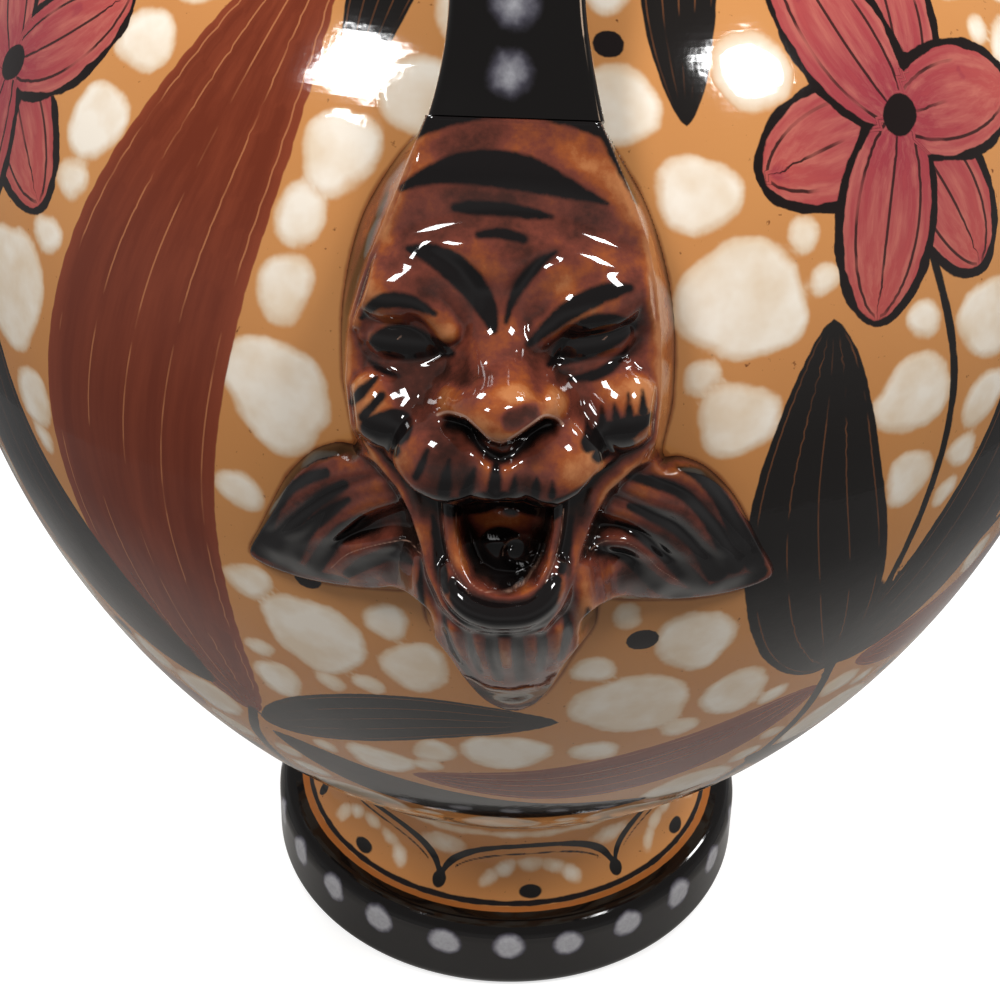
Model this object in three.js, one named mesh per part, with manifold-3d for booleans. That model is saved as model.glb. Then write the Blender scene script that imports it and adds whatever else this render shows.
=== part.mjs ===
// Two-handled earthenware vase: turned foot, stem, belly, neck and lip, and two strap handles
// that each end in a snarling big-cat mask on the belly. Millimetres, +Z up, origin at the
// centre of the foot's resting ring. The handles stand at -Y (front) and +Y (back).
import * as THREE from 'three';
import { mergeVertices } from 'three/addons/utils/BufferGeometryUtils.js';
import Module from 'manifold-3d';

// Foot: a glazed black ring, open underneath
const FOOT_R = 57.3;            // widest radius of the ring
const FOOT_H = 18.3;            // height of its flat top
const FOOT_REST_OUT = 55.6;     // outer radius of the flat face that stands on the table
const FOOT_REST_IN = 47.5;      // inner radius of that face
const FOOT_TOP_R = 54.9;        // where the flat top starts to round over
const FOOT_EDGE = 1.8;          // height of that rounding

// Stem: the concave waist between foot and belly
const STEM_BASE_R = 49.7;
const STEM_WAIST_R = 43.2;
const STEM_WAIST_Z = 35;
const STEM_TOP_R = 43.5;
const BASE_Z = 42;              // belly springs from the stem here

// Belly and shoulder
const BELLY_R = 112.4;
const BELLY_Z = 170;
const FLARE_R = 20.1;           // how far the underside runs out before it turns up
const FLARE_Z = 6.8;
const UNDER_FULL = 66;          // fullness of the belly below its widest line
const OVER_FULL = 48;           // fullness above it
const SHOULDER_FULL = 38;       // how far the shoulder runs flat towards the neck
const SHOULDER_DROP = 6;
const FLOOR = 9;                // thickness of the vase's floor

// Neck and lip
const NECK_ROOT_R = 40;
const NECK_ROOT_Z = 256;
const WAIST_R = 31;
const WAIST_Z = 279;
const NECK_TOP_R = 40;
const NECK_TOP_Z = 309;
const LIP_R = 51;
const TOTAL_H = 330;
const LIP_ROUND = 1.3;
const WAIST_LEAD = 9;           // pull of the neck's curve below its waist
const WAIST_LAST = 12;          // and above it

// Walls and slip joints
const WALL = 6;
const NECK_WALL = 5;
const LAP = 4;                  // depth of the half-lap where two turned sections meet
const FIT = 0.3;                // slip gap left round every laid-on or lapped piece

// Handle straps
const STRAP_T = 9;              // thickness
const STRAP_TOP_W = 18;         // width where it leaves the neck
const STRAP_FOOT_W = 24.6;      // width where it runs into the mask
const STRAP_EDGE = 2.6;         // rounding of its long edges
const STRAP_NECK_Z = 295;       // height at which it springs from the neck
const STRAP_RISE = 34;          // degrees above level at which it leaves the neck
const STRAP_REACH = 40;         // pull of the upper curve
const STRAP_FALL = 48;          // pull of the lower curve
const STRAP_STEPS = 18;

// Mask: laid out in its own plane, u across, v up, h outward from the plane
const MASK_TILT = 24;           // degrees that the mask looks up
const MASK_UP = 10;             // its origin above the belly's widest line
const MASK_IN = 1.4;            // its origin inside that line's radius
const MASK_TOP = 41;            // v of the joint with the strap
const MASK_LEAN = 0.037;        // sideways lean below the joint, mm per mm
const PLATE = 14;               // h of the forehead, level with the strap's face
const GRID = 3.1;               // modelling step of the relief
const DEEP = 60;                // how far the blanks run back before the belly cuts them
const FRONT = 32;               // how far they run out, past the nose
const FLANK = 0.24;             // slope of the face's sides, mm inward per mm outward
const TONGUE_V = -16.5;         // middle of the tongue

const LATHE_STEPS = 40;

const wasm = await Module();
wasm.setup();

const rad = (deg) => (deg * Math.PI) / 180;

function bezier(a, b, c, d, n) {
  const curve = new THREE.CubicBezierCurve(...[a, b, c, d].map((p) => new THREE.Vector2(...p)));
  return curve.getPoints(n).map((p) => [p.x, p.y]);
}

// Points moved sideways off a profile that runs upward: positive is towards the axis
function offset(points, distance) {
  return points.map((p, i) => {
    const a = points[Math.max(i - 1, 0)];
    const b = points[Math.min(i + 1, points.length - 1)];
    const length = Math.hypot(b[0] - a[0], b[1] - a[1]);
    const nr = (b[1] - a[1]) / length;
    const nz = (b[0] - a[0]) / length;
    return [p[0] - nr * distance, p[1] + nz * distance];
  });
}

function radiusAt(points, z) {
  for (let i = 1; i < points.length; i += 1) {
    const [r0, z0] = points[i - 1];
    const [r1, z1] = points[i];
    if (z <= z1) return r0 + ((r1 - r0) * (z - z0)) / (z1 - z0);
  }
  return points[points.length - 1][0];
}

// Inner walls need fewer rings than outer ones
const thinned = (points) => points.filter((p, i) => i % 2 === 0 || i === points.length - 1);

// The stretch of an upward profile between two heights, with exact ends
function between(points, low, high) {
  const inside = points.filter((p) => p[1] > low + 0.2 && p[1] < high - 0.2);
  return [[radiusAt(points, low), low], ...inside, [radiusAt(points, high), high]];
}

function bare(geometry) {
  geometry.deleteAttribute('normal');
  geometry.deleteAttribute('uv');
  const merged = mergeVertices(geometry, 1e-4);
  return outward(merged);
}

function outward(geometry) {
  const p = geometry.getAttribute('position');
  const index = geometry.index.array;
  const [a, b, c] = [new THREE.Vector3(), new THREE.Vector3(), new THREE.Vector3()];
  let volume = 0;
  for (let i = 0; i < index.length; i += 3) {
    a.fromBufferAttribute(p, index[i]);
    b.fromBufferAttribute(p, index[i + 1]);
    c.fromBufferAttribute(p, index[i + 2]);
    volume += a.dot(b.cross(c));
  }
  if (volume < 0) {
    for (let i = 0; i < index.length; i += 3) {
      [index[i], index[i + 1]] = [index[i + 1], index[i]];
    }
  }
  return geometry;
}

function solid(geometry) {
  const vertProperties = new Float32Array(geometry.getAttribute('position').array);
  const triVerts = new Uint32Array(geometry.index.array);
  return new wasm.Manifold(new wasm.Mesh({ numProp: 3, vertProperties, triVerts }));
}

function geometryOf(manifold) {
  const mesh = manifold.getMesh();
  const geometry = new THREE.BufferGeometry();
  geometry.setAttribute('position', new THREE.BufferAttribute(mesh.vertProperties, 3));
  geometry.setIndex(new THREE.BufferAttribute(mesh.triVerts, 1));
  return geometry;
}

// A closed profile of [radius, height] turned about the vertical axis
function turned(profile) {
  const closed = [...profile, profile[0]].map((p) => new THREE.Vector2(...p));
  const geometry = new THREE.LatheGeometry(closed, LATHE_STEPS);
  geometry.rotateX(Math.PI / 2);
  return withoutSlivers(bare(geometry));
}

// Rings that lie on the axis collapse to a point, so their flat triangles go
function withoutSlivers(geometry) {
  const index = geometry.index.array;
  const kept = [];
  for (let i = 0; i < index.length; i += 3) {
    const [a, b, c] = [index[i], index[i + 1], index[i + 2]];
    if (a !== b && b !== c && c !== a) kept.push(a, b, c);
  }
  geometry.setIndex(kept);
  return geometry;
}

// Outer profiles, from which walls, joints and handle seats all follow
const underside = bezier(
  [STEM_TOP_R, BASE_Z], [STEM_TOP_R + FLARE_R, BASE_Z + FLARE_Z],
  [BELLY_R, BELLY_Z - UNDER_FULL], [BELLY_R, BELLY_Z], 11);
const shoulder = bezier(
  [BELLY_R, BELLY_Z], [BELLY_R, BELLY_Z + OVER_FULL],
  [NECK_ROOT_R + SHOULDER_FULL, NECK_ROOT_Z - SHOULDER_DROP], [NECK_ROOT_R, NECK_ROOT_Z], 11);
const neckLine = [
  ...bezier([NECK_ROOT_R, NECK_ROOT_Z], [WAIST_R + 2.2, NECK_ROOT_Z + 3.5],
    [WAIST_R, WAIST_Z - WAIST_LEAD], [WAIST_R, WAIST_Z], 5),
  ...bezier([WAIST_R, WAIST_Z], [WAIST_R, WAIST_Z + WAIST_LAST],
    [NECK_TOP_R - 4, NECK_TOP_Z - 7], [NECK_TOP_R, NECK_TOP_Z], 5).slice(1)];
const lipLine = bezier([NECK_TOP_R, NECK_TOP_Z], [NECK_TOP_R + 4.4, NECK_TOP_Z + 8],
  [LIP_R - 1.5, TOTAL_H - 9], [LIP_R, TOTAL_H - 2 * LIP_ROUND], 4);

function footRing() {
  const lapR = STEM_BASE_R - WALL / 2;
  const boreR = STEM_BASE_R - WALL;
  return turned([
    [FOOT_REST_IN, 0], [FOOT_REST_OUT, 0], [FOOT_R - 0.4, 1.2], [FOOT_R, FOOT_H * 0.36],
    [FOOT_R - 0.3, FOOT_H - FOOT_EDGE * 2], [FOOT_R - 1, FOOT_H - FOOT_EDGE],
    [FOOT_TOP_R, FOOT_H - FOOT_EDGE * 0.25], [FOOT_TOP_R - 3, FOOT_H], [lapR, FOOT_H],
    [lapR, FOOT_H - LAP], [boreR, FOOT_H - LAP], [boreR, FOOT_H - LAP - 3]]);
}

function stem() {
  const outer = [
    ...bezier([STEM_BASE_R, FOOT_H], [STEM_BASE_R - 3.6, FOOT_H + 3.2],
      [STEM_WAIST_R, STEM_WAIST_Z - 8], [STEM_WAIST_R, STEM_WAIST_Z], 5),
    [STEM_TOP_R, BASE_Z]];
  const inner = offset(outer, WALL);
  const boreTop = STEM_TOP_R - WALL;
  const lapR = STEM_BASE_R - WALL / 2 - FIT;
  return turned([
    ...outer, [boreTop, BASE_Z], ...inner.slice(1, -1).reverse(),
    [STEM_BASE_R - WALL, FOOT_H - LAP + FIT], [lapR, FOOT_H - LAP + FIT], [lapR, FOOT_H]]);
}

function bodyLower() {
  const inner = thinned(offset(underside, WALL));
  const floorZ = BASE_Z + FLOOR - LAP;
  const bowl = between(inner.filter((p) => p[1] > floorZ), floorZ, BELLY_Z - LAP).slice(1);
  const plug = STEM_TOP_R - WALL - FIT;
  return turned([
    [0, BASE_Z - LAP], [plug, BASE_Z - LAP], [plug, BASE_Z], ...underside,
    [BELLY_R - WALL / 2, BELLY_Z], [BELLY_R - WALL / 2, BELLY_Z - LAP],
    ...bowl.reverse(), [bowl[bowl.length - 1][0] - 9, floorZ], [0, floorZ]]);
}

function bodyUpper() {
  const inner = thinned(offset(shoulder, WALL));
  const hollow = inner.filter((p, i) => i > 0 && p[1] < NECK_ROOT_Z - WALL);
  const lapIn = BELLY_R - WALL;
  const mouthIn = NECK_ROOT_R - NECK_WALL;
  const mouthLap = NECK_ROOT_R - NECK_WALL / 2;
  return turned([
    ...shoulder, [mouthLap, NECK_ROOT_Z], [mouthLap, NECK_ROOT_Z - LAP],
    [mouthIn, NECK_ROOT_Z - LAP], [mouthIn, NECK_ROOT_Z - WALL * 1.3],
    ...hollow.reverse().filter((p) => p[0] > mouthIn + 4), [lapIn, BELLY_Z - LAP + FIT],
    [BELLY_R - WALL / 2 - FIT, BELLY_Z - LAP + FIT], [BELLY_R - WALL / 2 - FIT, BELLY_Z]]);
}

function neck() {
  const inner = thinned(offset(neckLine, NECK_WALL)).slice(1, -1);
  const footIn = NECK_ROOT_R - NECK_WALL;
  const footLap = NECK_ROOT_R - NECK_WALL / 2 - FIT;
  const topIn = NECK_TOP_R - NECK_WALL;
  const topLap = NECK_TOP_R - NECK_WALL / 2;
  return turned([
    ...neckLine, [topLap, NECK_TOP_Z], [topLap, NECK_TOP_Z - LAP],
    [topIn, NECK_TOP_Z - LAP], ...inner.filter((p) => p[1] < NECK_TOP_Z - LAP - 1).reverse(),
    [footIn, NECK_ROOT_Z - LAP + FIT], [footLap, NECK_ROOT_Z - LAP + FIT],
    [footLap, NECK_ROOT_Z]]);
}

function lip() {
  const inner = offset(lipLine, NECK_WALL);
  const lapR = NECK_TOP_R - NECK_WALL / 2 - FIT;
  const footIn = NECK_TOP_R - NECK_WALL;
  return turned([
    ...lipLine, [LIP_R - LIP_ROUND * 0.4, TOTAL_H - LIP_ROUND * 0.5],
    [LIP_R - LIP_ROUND * 1.4, TOTAL_H], [LIP_R - LIP_ROUND * 3, TOTAL_H],
    ...inner.slice(1, -1).reverse(), [footIn, NECK_TOP_Z - LAP + FIT],
    [lapR, NECK_TOP_Z - LAP + FIT], [lapR, NECK_TOP_Z]]);
}

// Whole body a slip gap larger: what handles and masks are cut back to
function seat() {
  const grown = [
    ...offset(underside, -FIT), ...offset(shoulder, -FIT).slice(1, -1),
    ...offset(neckLine, -FIT).slice(1)];
  return solid(turned([[0, BASE_Z], ...grown, [0, NECK_TOP_Z]]));
}

// Mask plane: u across, v up the belly, h outward
const tilt = rad(MASK_TILT);
const maskOrigin = new THREE.Vector3(0, MASK_IN - BELLY_R, BELLY_Z + MASK_UP);
const acrossAxis = new THREE.Vector3(1, 0, 0);
const upAxis = new THREE.Vector3(0, Math.sin(tilt), Math.cos(tilt));
const outAxis = new THREE.Vector3(0, -Math.cos(tilt), Math.sin(tilt));

function onMask(u, v, h) {
  return maskOrigin.clone().addScaledVector(acrossAxis, u + (MASK_TOP - v) * MASK_LEAN)
    .addScaledVector(upAxis, v).addScaledVector(outAxis, h);
}

// How far the belly's surface lies behind the mask plane
const bodyLine = [...underside, ...shoulder.slice(1)];
function bellyDepth(u, v) {
  let [low, high] = [-DEEP, DEEP];
  for (let i = 0; i < 24; i += 1) {
    const h = (low + high) / 2;
    const p = onMask(u, v, h);
    if (Math.hypot(p.x, p.y) > radiusAt(bodyLine, p.z)) high = h;
    else low = h;
  }
  return low;
}

// Outlines in the mask plane, right half from top to bottom; neighbours share their points.
// A third number is the share of the flank's slope that the side has there
const cheekCorner = [21.7, -2.6];
const faceSide = [[12.3, MASK_TOP], [16.4, 35, 0.5], [20, 27.7, 1], [21.9, 21, 1], [22.9, 13.7, 1],
  [22.9, 5, 0.9], cheekCorner];
const cheekSeam = [[18, -6.5], [14.6, -10.5]];
const jawRoot = [11.4, -12.5];
const lipCorner = [9.8, -9.6];
const lipDip = [6.4, -10.4];
const lipSeam = [[3.5, -9.8], [0, -8.5]];
const jawSide = [10.6, -17];
const jawSeam = [[9, -21.8], [5.8, -25.2], [0, -26.3]];
const mouthSeam = [[6.9, -15], [5.4, -18.8], [2.8, -20.8], [0, -21.3]];
const lockSeam = [[13, -19.5], [13.6, -24], [13.5, -26.6]];
const beardEdge = [[12.9, -31], [10.5, -35.2], [8, -40.5], [4.7, -45.9], [1.4, -48.3], [0, -48.5]];
const ruffEdge = [[24.2, -3], [28, -4.6], [31.9, -8.3], [34.4, -12.1], [37.2, -17], [39.9, -21.8],
  [38, -23.9], [33, -25.5], [28.4, -26.2], [22, -26.5], [16.8, -26.3]];

const mirrored = (points) => points.filter((p) => p[0] > 0)
  .map(([u, v, flank]) => [-u, v, flank]).reverse();
const bothSides = (half) => [...half, ...mirrored(half)];

const faceOutline = bothSides([...faceSide, ...cheekSeam, jawRoot, lipCorner, lipDip, ...lipSeam]);
const jawOutline = [
  ...bothSides([lipDip, lipCorner, jawRoot, jawSide, ...jawSeam]),
  ...mirrored(mouthSeam).reverse(), ...mouthSeam.slice().reverse()];
const tongueOutline = bothSides([...lipSeam.slice().reverse(), lipDip, ...mouthSeam]);
const beardOutline = [
  ...bothSides([jawSide, ...lockSeam, ...beardEdge]),
  ...mirrored(jawSeam).reverse(), ...jawSeam.slice().reverse()];
const ruffOutline = [
  cheekCorner, ...ruffEdge, ...lockSeam.slice().reverse(), jawSide, jawRoot,
  ...cheekSeam.slice().reverse()];

// An outline drawn in all round by a set distance
function shrunk(outline, distance) {
  const area = THREE.ShapeUtils.area(outline.map((p) => new THREE.Vector2(...p)));
  const sign = area > 0 ? 1 : -1;
  return outline.map((p, i) => {
    const a = outline[(i + outline.length - 1) % outline.length];
    const b = outline[(i + 1) % outline.length];
    const e0 = new THREE.Vector2(p[0] - a[0], p[1] - a[1]).normalize();
    const e1 = new THREE.Vector2(b[0] - p[0], b[1] - p[1]).normalize();
    const n0 = new THREE.Vector2(-e0.y, e0.x);
    const n1 = new THREE.Vector2(-e1.y, e1.x);
    const miter = n0.clone().add(n1).divideScalar(1 + n0.dot(n1));
    return [p[0] + miter.x * distance * sign, p[1] + miter.y * distance * sign, p[2]];
  });
}

function bump(u, v, [cu, cv, su, sv, height]) {
  return height * Math.exp(-(((u - cu) / su) ** 2) - (((v - cv) / sv) ** 2));
}

// Relief of the face above the plate: centre u, centre v, spread u, spread v, height
const oneSide = [
  [13, 18.6, 6.5, 3.4, 2.2], [12.4, 12.6, 6, 3, -3.4], [12.4, 12.6, 3.2, 2, 1.6],
  [15.6, 4.4, 4.6, 5, 3.4], [8.2, 4, 3, 3, 4.6], [8.4, -3.8, 5.4, 4.6, 9]];
const middle = [[0, 34, 14, 4, 1.3], [0, 25, 12, 3.4, 2], [0, 5, 5.2, 6.4, 12.2], [0, -5.8, 6, 4.6, 10.5]];
const lumps = [...oneSide, ...oneSide.map(([u, ...rest]) => [-u, ...rest]), ...middle];

function faceHeight(u, v) {
  const drop = THREE.MathUtils.smoothstep(MASK_TOP - v, 20, 32) * 2.4;
  const side = THREE.MathUtils.smoothstep(Math.abs(u), 14, 23) * 4;
  const jaw = THREE.MathUtils.smoothstep(-v, 2, 11) * THREE.MathUtils.smoothstep(Math.abs(u), 9, 14);
  return lumps.reduce((sum, lump) => sum + bump(u, v, lump), PLATE - drop - side - jaw * 8);
}

function jawHeight(u, v) {
  const lipRoll = THREE.MathUtils.smoothstep(-v, 9, 21);
  return 8 + 9 * lipRoll - THREE.MathUtils.smoothstep(-v, 23, 27) * 4;
}

function tongueHeight(u, v) {
  return 3 + bump(u, v, [0, TONGUE_V, 4.6, 4.2, 6]);
}

// The beard's crest falls from the lower lip to its tip, and its flanks round off to the belly
const beardCrest = [[-60, -40], [-48.5, -23], [-46, -17], [-43, -12.5], [-38, -8], [-30, 6], [-25, 13], [0, 13]];
const beardHalf = [[-60, 2], [-48.5, 3], [-45.9, 5], [-40.5, 8.3], [-35.2, 10.8], [-31, 13.2], [0, 13.8]];

function ramp(table, v) {
  const [a, b] = table.map((p, i) => [p, table[i + 1]]).find(([, q]) => !q || v < q[0]);
  if (!b) return a[1];
  return a[1] + ((b[1] - a[1]) * (v - a[0])) / (b[0] - a[0]);
}

function beardHeight(u, v) {
  const across = Math.min(Math.abs(u) / ramp(beardHalf, v), 1) ** 2;
  const flank = bellyDepth(u, v) + THREE.MathUtils.mapLinear(v, -48, -20, 1.5, 8);
  return THREE.MathUtils.lerp(ramp(beardCrest, v), flank, across);
}

function ruffHeight(u, v) {
  const out = THREE.MathUtils.smoothstep(Math.abs(u), 14, 37);
  const flutes = 1.2 * Math.cos((Math.abs(u) * 0.35 + v) * 0.85);
  return bellyDepth(u, v) + THREE.MathUtils.lerp(8.5, 2.6, out) + flutes * (1 - out * 0.6);
}

// A block behind a relief, cut to its outline and back to the belly
function reliefBlock(outline, height) {
  const us = outline.map((p) => p[0]);
  const vs = outline.map((p) => p[1]);
  const [u0, u1] = [Math.min(...us) - 1, Math.max(...us) + 1];
  const [v0, v1] = [Math.min(...vs) - 1, Math.max(...vs) + 1];
  const [nu, nv] = [Math.ceil((u1 - u0) / GRID), Math.ceil((v1 - v0) / GRID)];
  const box = new THREE.BoxGeometry(1, 1, 1, nu, nv, 1);
  const p = box.getAttribute('position');
  for (let i = 0; i < p.count; i += 1) {
    const u = u0 + (p.getX(i) + 0.5) * (u1 - u0);
    const v = v0 + (p.getY(i) + 0.5) * (v1 - v0);
    const h = p.getZ(i) > 0 ? height(u, v) : -DEEP;
    p.setXYZ(i, ...onMask(u, v, h).toArray());
  }
  return solid(bare(box));
}

function outlinePrism(outline) {
  const shape = new THREE.Shape(outline.map((p) => new THREE.Vector2(...p)));
  const prism = new THREE.ExtrudeGeometry(shape, { depth: DEEP + FRONT, bevelEnabled: false });
  const p = prism.getAttribute('position');
  for (let i = 0; i < p.count; i += 1) {
    const [u, v, h] = [p.getX(i), p.getY(i), p.getZ(i) - DEEP];
    const flank = outline.find((q) => Math.hypot(q[0] - u, q[1] - v) < 1e-3)[2] ?? 0;
    p.setXYZ(i, ...onMask(u - Math.sign(u) * flank * FLANK * h, v, h).toArray());
  }
  return solid(bare(prism));
}

const cutter = seat();

function relief(outline, height) {
  const prism = outlinePrism(shrunk(outline, FIT / 2));
  return geometryOf(reliefBlock(outline, height).intersect(prism).subtract(cutter));
}

// The strap runs in the plane x = 0, from the neck over the shoulder to the mask's top edge
function strap() {
  const rise = rad(STRAP_RISE);
  const neckR = radiusAt(neckLine, STRAP_NECK_Z) / 2;
  const end = onMask(0, MASK_TOP + FIT, PLATE - STRAP_T / 2);
  const start = new THREE.Vector3(0, -neckR, STRAP_NECK_Z);
  const leave = new THREE.Vector3(0, -Math.cos(rise), Math.sin(rise));
  const path = new THREE.CubicBezierCurve3(
    start, start.clone().addScaledVector(leave, STRAP_REACH),
    end.clone().addScaledVector(upAxis, STRAP_FALL), end);
  end.x = 0;
  const geometry = new THREE.ExtrudeGeometry(strapSection(), { steps: STRAP_STEPS, extrudePath: path });
  const p = geometry.getAttribute('position');
  const fall = start.z - end.z;
  for (let i = 0; i < p.count; i += 1) {
    const along = THREE.MathUtils.smoothstep((start.z - p.getZ(i)) / fall, 0.25, 1.02);
    p.setX(i, p.getX(i) * THREE.MathUtils.lerp(1, STRAP_FOOT_W / STRAP_TOP_W, along));
  }
  return geometryOf(solid(bare(geometry)).subtract(cutter));
}

// Section across the strap: a flat bar with rounded long edges
function strapSection() {
  const [w, t, e] = [STRAP_TOP_W / 2, STRAP_T / 2, STRAP_EDGE];
  const quarter = [[w - e, t], [w - e * 0.3, t - e * 0.3], [w, t - e]];
  const half = [...quarter, ...quarter.map(([x, y]) => [x, -y]).reverse()];
  const ring = [...half, ...half.map(([x, y]) => [-x, y]).reverse()];
  return new THREE.Shape(ring.map(([x, y]) => new THREE.Vector2(x, y)));
}

const finish = (color, roughness) => new THREE.MeshStandardMaterial({ color, roughness, metalness: 0 });

const GLOSS_BLACK = () => finish(0x171213, 0.12);
const OCHRE_GLAZE = () => finish(0xb97a45, 0.14);
const TREACLE_GLAZE = () => finish(0x6b2a16, 0.12);
const DARK_TREACLE = () => finish(0x3a1610, 0.12);

const vase = new THREE.Group();

function add(name, geometry, material, parent = vase) {
  const mesh = new THREE.Mesh(geometry, material);
  mesh.name = name;
  parent.add(mesh);
}

add('foot_ring', footRing(), GLOSS_BLACK());
add('stem', stem(), OCHRE_GLAZE());
add('body_lower', bodyLower(), OCHRE_GLAZE());
add('body_upper', bodyUpper(), OCHRE_GLAZE());
add('neck', neck(), OCHRE_GLAZE());
add('lip', lip(), GLOSS_BLACK());

const mirrorOutline = (outline) => outline.map(([u, v, flank]) => [-u, v, flank]);

function addHandle(side, turn) {
  const handle = new THREE.Group();
  handle.rotation.z = turn;
  add(`strap_${side}`, strap(), GLOSS_BLACK(), handle);
  add(`mask_face_${side}`, relief(faceOutline, faceHeight), TREACLE_GLAZE(), handle);
  add(`mask_jaw_${side}`, relief(jawOutline, jawHeight), DARK_TREACLE(), handle);
  add(`mask_tongue_${side}`, relief(tongueOutline, tongueHeight), DARK_TREACLE(), handle);
  add(`mask_beard_${side}`, relief(beardOutline, beardHeight), TREACLE_GLAZE(), handle);
  add(`mask_ruff_left_${side}`, relief(mirrorOutline(ruffOutline), ruffHeight), TREACLE_GLAZE(), handle);
  add(`mask_ruff_right_${side}`, relief(ruffOutline, ruffHeight), TREACLE_GLAZE(), handle);
  vase.add(handle);
}

addHandle('front', 0);
addHandle('back', Math.PI);

export default vase;
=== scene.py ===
"""Two-handled vase: a footed, round-bellied flower vase of hand-painted earthenware.

Run as a script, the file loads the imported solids, makes the vase's visible pieces round them,
and sets up the studio. Lengths are millimetres in the shape code and metres in Blender.
"""

import math

import bmesh
import bpy
import numpy as np
from bpy.props import FloatProperty, FloatVectorProperty, IntProperty, PointerProperty
from mathutils import Matrix, Vector


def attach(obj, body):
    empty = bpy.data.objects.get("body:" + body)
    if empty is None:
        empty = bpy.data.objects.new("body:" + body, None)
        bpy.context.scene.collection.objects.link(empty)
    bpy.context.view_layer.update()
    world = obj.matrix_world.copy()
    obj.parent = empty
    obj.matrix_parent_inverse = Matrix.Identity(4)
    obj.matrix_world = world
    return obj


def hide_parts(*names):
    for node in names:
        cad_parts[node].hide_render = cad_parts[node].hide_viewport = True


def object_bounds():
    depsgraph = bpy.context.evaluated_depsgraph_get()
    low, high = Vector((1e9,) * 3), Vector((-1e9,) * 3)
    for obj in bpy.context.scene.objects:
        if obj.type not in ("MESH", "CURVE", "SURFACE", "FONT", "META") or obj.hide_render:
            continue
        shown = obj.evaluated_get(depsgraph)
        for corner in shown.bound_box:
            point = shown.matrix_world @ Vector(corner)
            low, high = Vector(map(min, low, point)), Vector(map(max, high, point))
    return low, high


bl_info = {
    "name": "Two-handled painted vase",
    "version": (1, 0, 0),
    "blender": (4, 5, 0),
    "location": "3D View > Sidebar > Vase",
    "description": "Makes a hand-painted earthenware vase with cat-mask handles",
    "category": "Add Mesh",
}

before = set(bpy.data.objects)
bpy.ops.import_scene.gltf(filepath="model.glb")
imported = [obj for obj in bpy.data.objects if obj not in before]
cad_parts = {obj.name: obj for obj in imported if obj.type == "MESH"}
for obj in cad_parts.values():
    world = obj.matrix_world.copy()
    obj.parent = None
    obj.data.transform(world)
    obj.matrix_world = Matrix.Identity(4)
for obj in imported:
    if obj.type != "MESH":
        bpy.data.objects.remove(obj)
CAD_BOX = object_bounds()
MM = 0.001
FAR = 1e3  # millimetres: no brushwork within reach
TINY = 1e-9  # keeps a division by a segment's squared length safe
WELD = 2e-6  # metres: points closer than this are one
CRISP = math.radians(38)  # edges sharper than this stay crisp

# Walls in millimetres, and how many dots and scallops go round
WALL, NECK_WALL = 6, 5
FOOT_DOTS, SCALLOPS, STRAP_DOT_STEP = 24, 7, 8.0

# Where the hand's chance starts, and how many places are tried for the cream dabs
PEBBLE_SEED, FOOT_SEED, STRAP_SEED = 11, 5, 3
PEBBLE_TRIES = 26000

# The handle straps, in millimetres; the flare takes up the last share of their run
STRAP_WIDTH, STRAP_THICKNESS, STRAP_EDGE = 17.2, 9.0, 1.3
STRAP_FLARE, FLARE_FROM, FLARE_POWER = 0.31, 0.86, 1.7

# Each lamp: azimuth and elevation in degrees, side in metres and power in watts
LAMPS = {
    "lamp_left": (-42, 52, 0.27, 8.6),
    "lamp_right": (56, 50, 0.25, 8.2),
    "lamp_back_left": (-138, 46, 0.25, 5.0),
    "lamp_back_right": (126, 46, 0.25, 5.0),
}
LAMP_DISTANCE, LAMP_TARGET = 1.25, Vector((0, 0, 0.15))

# The picture's camera, fitted to the foot's dots and the belly's silhouettes
CAMERA_PLACE = Vector((0.00750, -0.30264, 0.29344))
CAMERA_TURN, CAMERA_PITCH, CAMERA_ROLL = math.radians(2.05), math.radians(33.14), math.radians(1.39)
LENS, SENSOR = 57.6, 36.0
FLOOR_RADIUS = 0.32


def linear(hex_colour):
    """An sRGB hex colour as the linear values that shaders use."""
    channels = [int(hex_colour[i : i + 2], 16) / 255 for i in (0, 2, 4)]
    return [c / 12.92 if c <= 0.04045 else ((c + 0.055) / 1.055) ** 2.4 for c in channels]


def tint(hex_colour):
    """The same with full cover, for a shader's socket."""
    return (*linear(hex_colour), 1.0)


def length(name, about, default):
    """A size in metres, shown in the panel."""
    return FloatProperty(name=name, description=about, default=default, min=0.0, subtype="DISTANCE",
        unit="LENGTH")


def colour(name, about, default):
    """A colour shown in the panel."""
    return FloatVectorProperty(
        name=name, description=about, default=linear(default), size=3, min=0, max=1, subtype="COLOR"
    )


class VaseSizes(bpy.types.PropertyGroup):
    """Sizes of the thrown sections and of the brushwork."""

    foot_radius: length("Foot radius", "Widest radius of the foot ring", 0.0573)
    foot_height: length("Foot height", "Height of the foot ring", 0.0183)
    stem_radius: length("Stem radius", "Narrowest radius of the stem", 0.0432)
    belly_radius: length("Belly radius", "Widest radius of the belly", 0.1124)
    belly_height: length("Belly height", "Height of the belly's widest line", 0.170)
    neck_radius: length("Neck radius", "Narrowest radius of the neck", 0.031)
    lip_radius: length("Lip radius", "Radius of the flared lip", 0.051)
    total_height: length("Height", "Overall height of the vase", CAD_BOX[1][2])
    foot_dot: length("Foot dot", "Radius of the dots painted round the foot", 0.0038)
    strap_dot: length("Strap dot", "Radius of the dots painted down the straps", 0.0027)
    relief_grid: length("Relief grid", "Spacing of the points that the masks are modelled on", 0.00025)
    round_steps: IntProperty(name="Steps round", description="Faces round the belly", default=560, min=32,
        max=900)


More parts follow.
